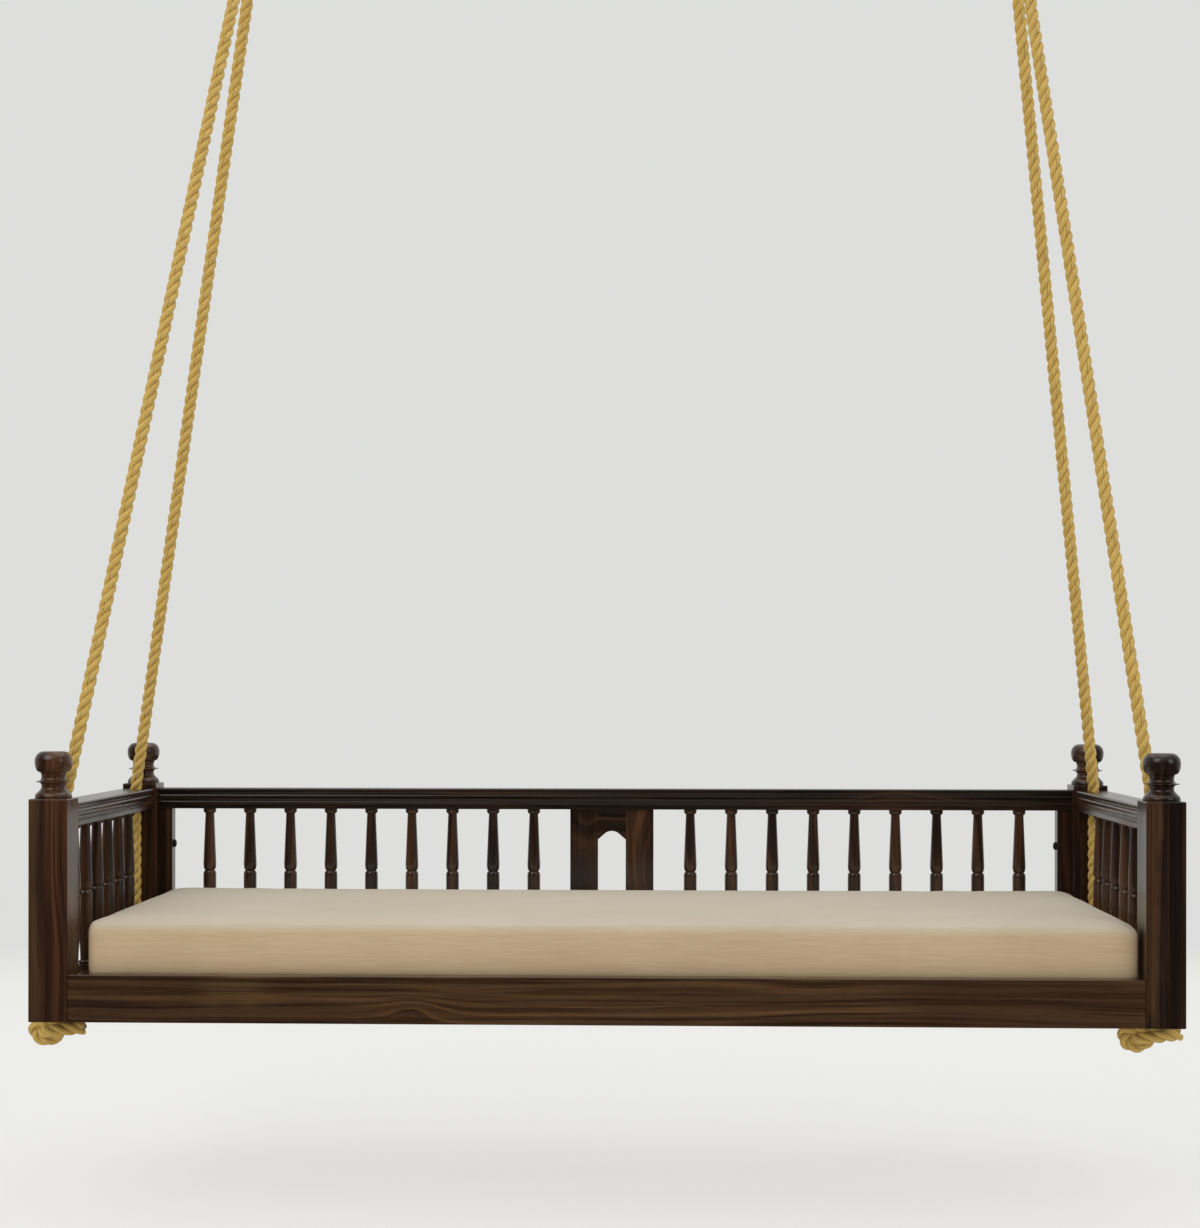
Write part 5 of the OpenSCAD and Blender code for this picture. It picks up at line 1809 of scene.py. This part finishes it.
@dataclass(frozen=True)
class Mattress:
    """A foam mattress in a plain woven cover."""

    length: float = 1848.0
    thickness: float = 118.0
    front_gap: float = 1.0
    back_gap: float = 6.5
    shift: float = 11.0
    radius: float = 14.0
    start_in: float = 4.0
    voxel: float = 0.009
    pressure: float = 4.0
    cap: float = 0.008
    frames: int = 20
    quality: int = 5
    stiffness: float = 25.0
    bending: float = 6.0
    over_slats: float = 0.3
    least_back_gap: float = 1.0
    pucker_ends: float = 2.5
    puckers: tuple[Pucker, ...] = (
        Pucker((-66, 296, 178), 7, 4.0), Pucker((-46, 296, 178), 6, 3.0), Pucker((14, 296, 178), 8, 4.5),
        Pucker((70, 296, 178), 6, 3.0), Pucker((116, 296, 178), 9, 4.0), Pucker((-420, 296, 178), 12, 2.5),
        Pucker((410, 296, 178), 10, 2.5), Pucker((924, -300, 172), 12, 5.0),
    )
    sizes: BedSizes = SIZES

    def make(self, finishes: Finishes) -> None:
        s = self.sizes
        front = s.front_rail_back + self.front_gap
        back = s.back_rail_front - self.back_gap
        low = s.low_rail_h + self.over_slats
        inset = self.start_in
        size = (self.length - 2 * inset, back - front - 2 * inset, self.thickness - 2 * inset)
        bm = new_box(size, (self.shift, (front + back) / 2, low + self.thickness / 2), self.radius, segments=5)
        obj = new_object(bm, "mattress_cover", BED_SPACE, Shading.SOFT)
        remesh = obj.modifiers.new("remesh", "REMESH")
        remesh.mode = "VOXEL"
        remesh.voxel_size = self.voxel
        apply_modifiers(obj)
        self.swell(obj)
        self.fill(obj, front, back, low)
        self.gather(obj)
        self.seat(obj)
        smooth(obj.data, Shading.SOFT)
        finer = obj.modifiers.new("subdivision", "SUBSURF")
        finer.levels = finer.render_levels = 1
        publish(obj, finishes.cloth, Belonging("bed", ("mattress",), "mattress_cloth"))

    def swell(self, obj: bpy.types.Object) -> None:
        """Blows the cover up with a cloth simulation, no point further than the cap."""
        rest = [v.co.copy() for v in obj.data.vertices]
        settings = obj.modifiers.new("cloth", "CLOTH").settings
        settings.use_pressure = True
        settings.uniform_pressure_force = self.pressure
        settings.effector_weights.gravity = 0.0
        settings.quality = self.quality
        settings.tension_stiffness = settings.compression_stiffness = self.stiffness
        settings.bending_stiffness = self.bending
        scene = bpy.context.scene
        for number in range(1, self.frames + 1):
            scene.frame_set(number)
        apply_modifiers(obj)
        scene.frame_set(1)
        for vertex, start in zip(obj.data.vertices, rest):
            move = vertex.co - start
            if move.length > self.cap:
                vertex.co = start + move.normalized() * self.cap

    def fill(self, obj: bpy.types.Object, front: float, back: float, low: float) -> None:
        """Brings the swollen cover back to its length, its depth and its height, in the bed's millimetres."""
        half = self.length / 2
        lows = BED_SPACE @ Vector((self.shift - half, front, low))
        highs = BED_SPACE @ Vector((self.shift + half, back, low + self.thickness))
        for axis in range(3):
            values = [vertex.co[axis] for vertex in obj.data.vertices]
            least, span = min(values), max(values) - min(values)
            for vertex in obj.data.vertices:
                vertex.co[axis] = lerp(lows[axis], highs[axis], (vertex.co[axis] - least) / span)

    def gather(self, obj: bpy.types.Object) -> None:
        """Pulls the cover in at each pucker."""
        for pucker in self.puckers:
            centre = BED_SPACE @ Vector(pucker.place)
            for vertex in obj.data.vertices:
                off = vertex.co - centre
                across = abs(off.x) / (pucker.width * MM)
                away = math.hypot(off.y, off.z) / (pucker.reach * MM)
                if max(across, away) < self.pucker_ends:
                    vertex.co.z -= pucker.depth * MM * math.exp(-across * across - away * away)

    def seat(self, obj: bpy.types.Object) -> None:
        """Holds the cover between the rails and on the slats."""
        s = self.sizes
        low = (BED_SPACE @ Vector((0, 0, s.low_rail_h + self.over_slats))).z
        front = (s.front_rail_back + self.front_gap) * MM
        back = (s.back_rail_front - self.least_back_gap) * MM
        for vertex in obj.data.vertices:
            vertex.co.z = max(vertex.co.z, low)
            vertex.co.y = min(max(vertex.co.y, front), back)


# ---- The whole ----


def post_woods() -> dict[tuple[Side, Face], StainedWood]:
    """Each post's own wood."""
    return {
        (Side.LEFT, Face.FRONT): StainedWood(
            "walnut post front left", Grain.ALONG_Z, 56.0, (23, 11, 5), (50, 27, 14), (86, 52, 28), lift=-0.24,
            patches=(Patch((-1020, -360, -10), (-990, -330, 400), (78, 56, 32), 0.55, (9, 12, 12), 8.0, 0.6),),
        ),
        (Side.RIGHT, Face.FRONT): StainedWood(
            "walnut post front right", Grain.ALONG_Z, 62.0, (15, 8, 4), (33, 19, 10), (68, 44, 25), lift=-0.28,
            patches=(Patch((920, -360, 20), (960, -330, 400), (84, 56, 31), 0.70, (7, 12, 30), 11.0, 0.6),),
        ),
        (Side.LEFT, Face.BACK): StainedWood("walnut post back left", Grain.ALONG_Z, 58.0),
        (Side.RIGHT, Face.BACK): StainedWood("walnut post back right", Grain.ALONG_Z, 64.0),
    }


def main() -> None:
    """Builds the scene, piece by piece."""
    logging.basicConfig(level=logging.INFO, format="%(name)s: %(message)s")
    Camera().make()
    finishes = Finishes()
    for side in Side:
        for face in Face:
            Rope(side, face, ROPE_SIZES, SIZES).make(finishes)
    CeilingHardware().make(finishes)
    Mattress().make(finishes)
    for (side, face), wood in post_woods().items():
        Post(side, face, wood).make(finishes)
    Rails().make(finishes)
    BackPanel().make(finishes)
    Deck().make(finishes)
    Studio().make()


if __name__ == "__main__":
    main()
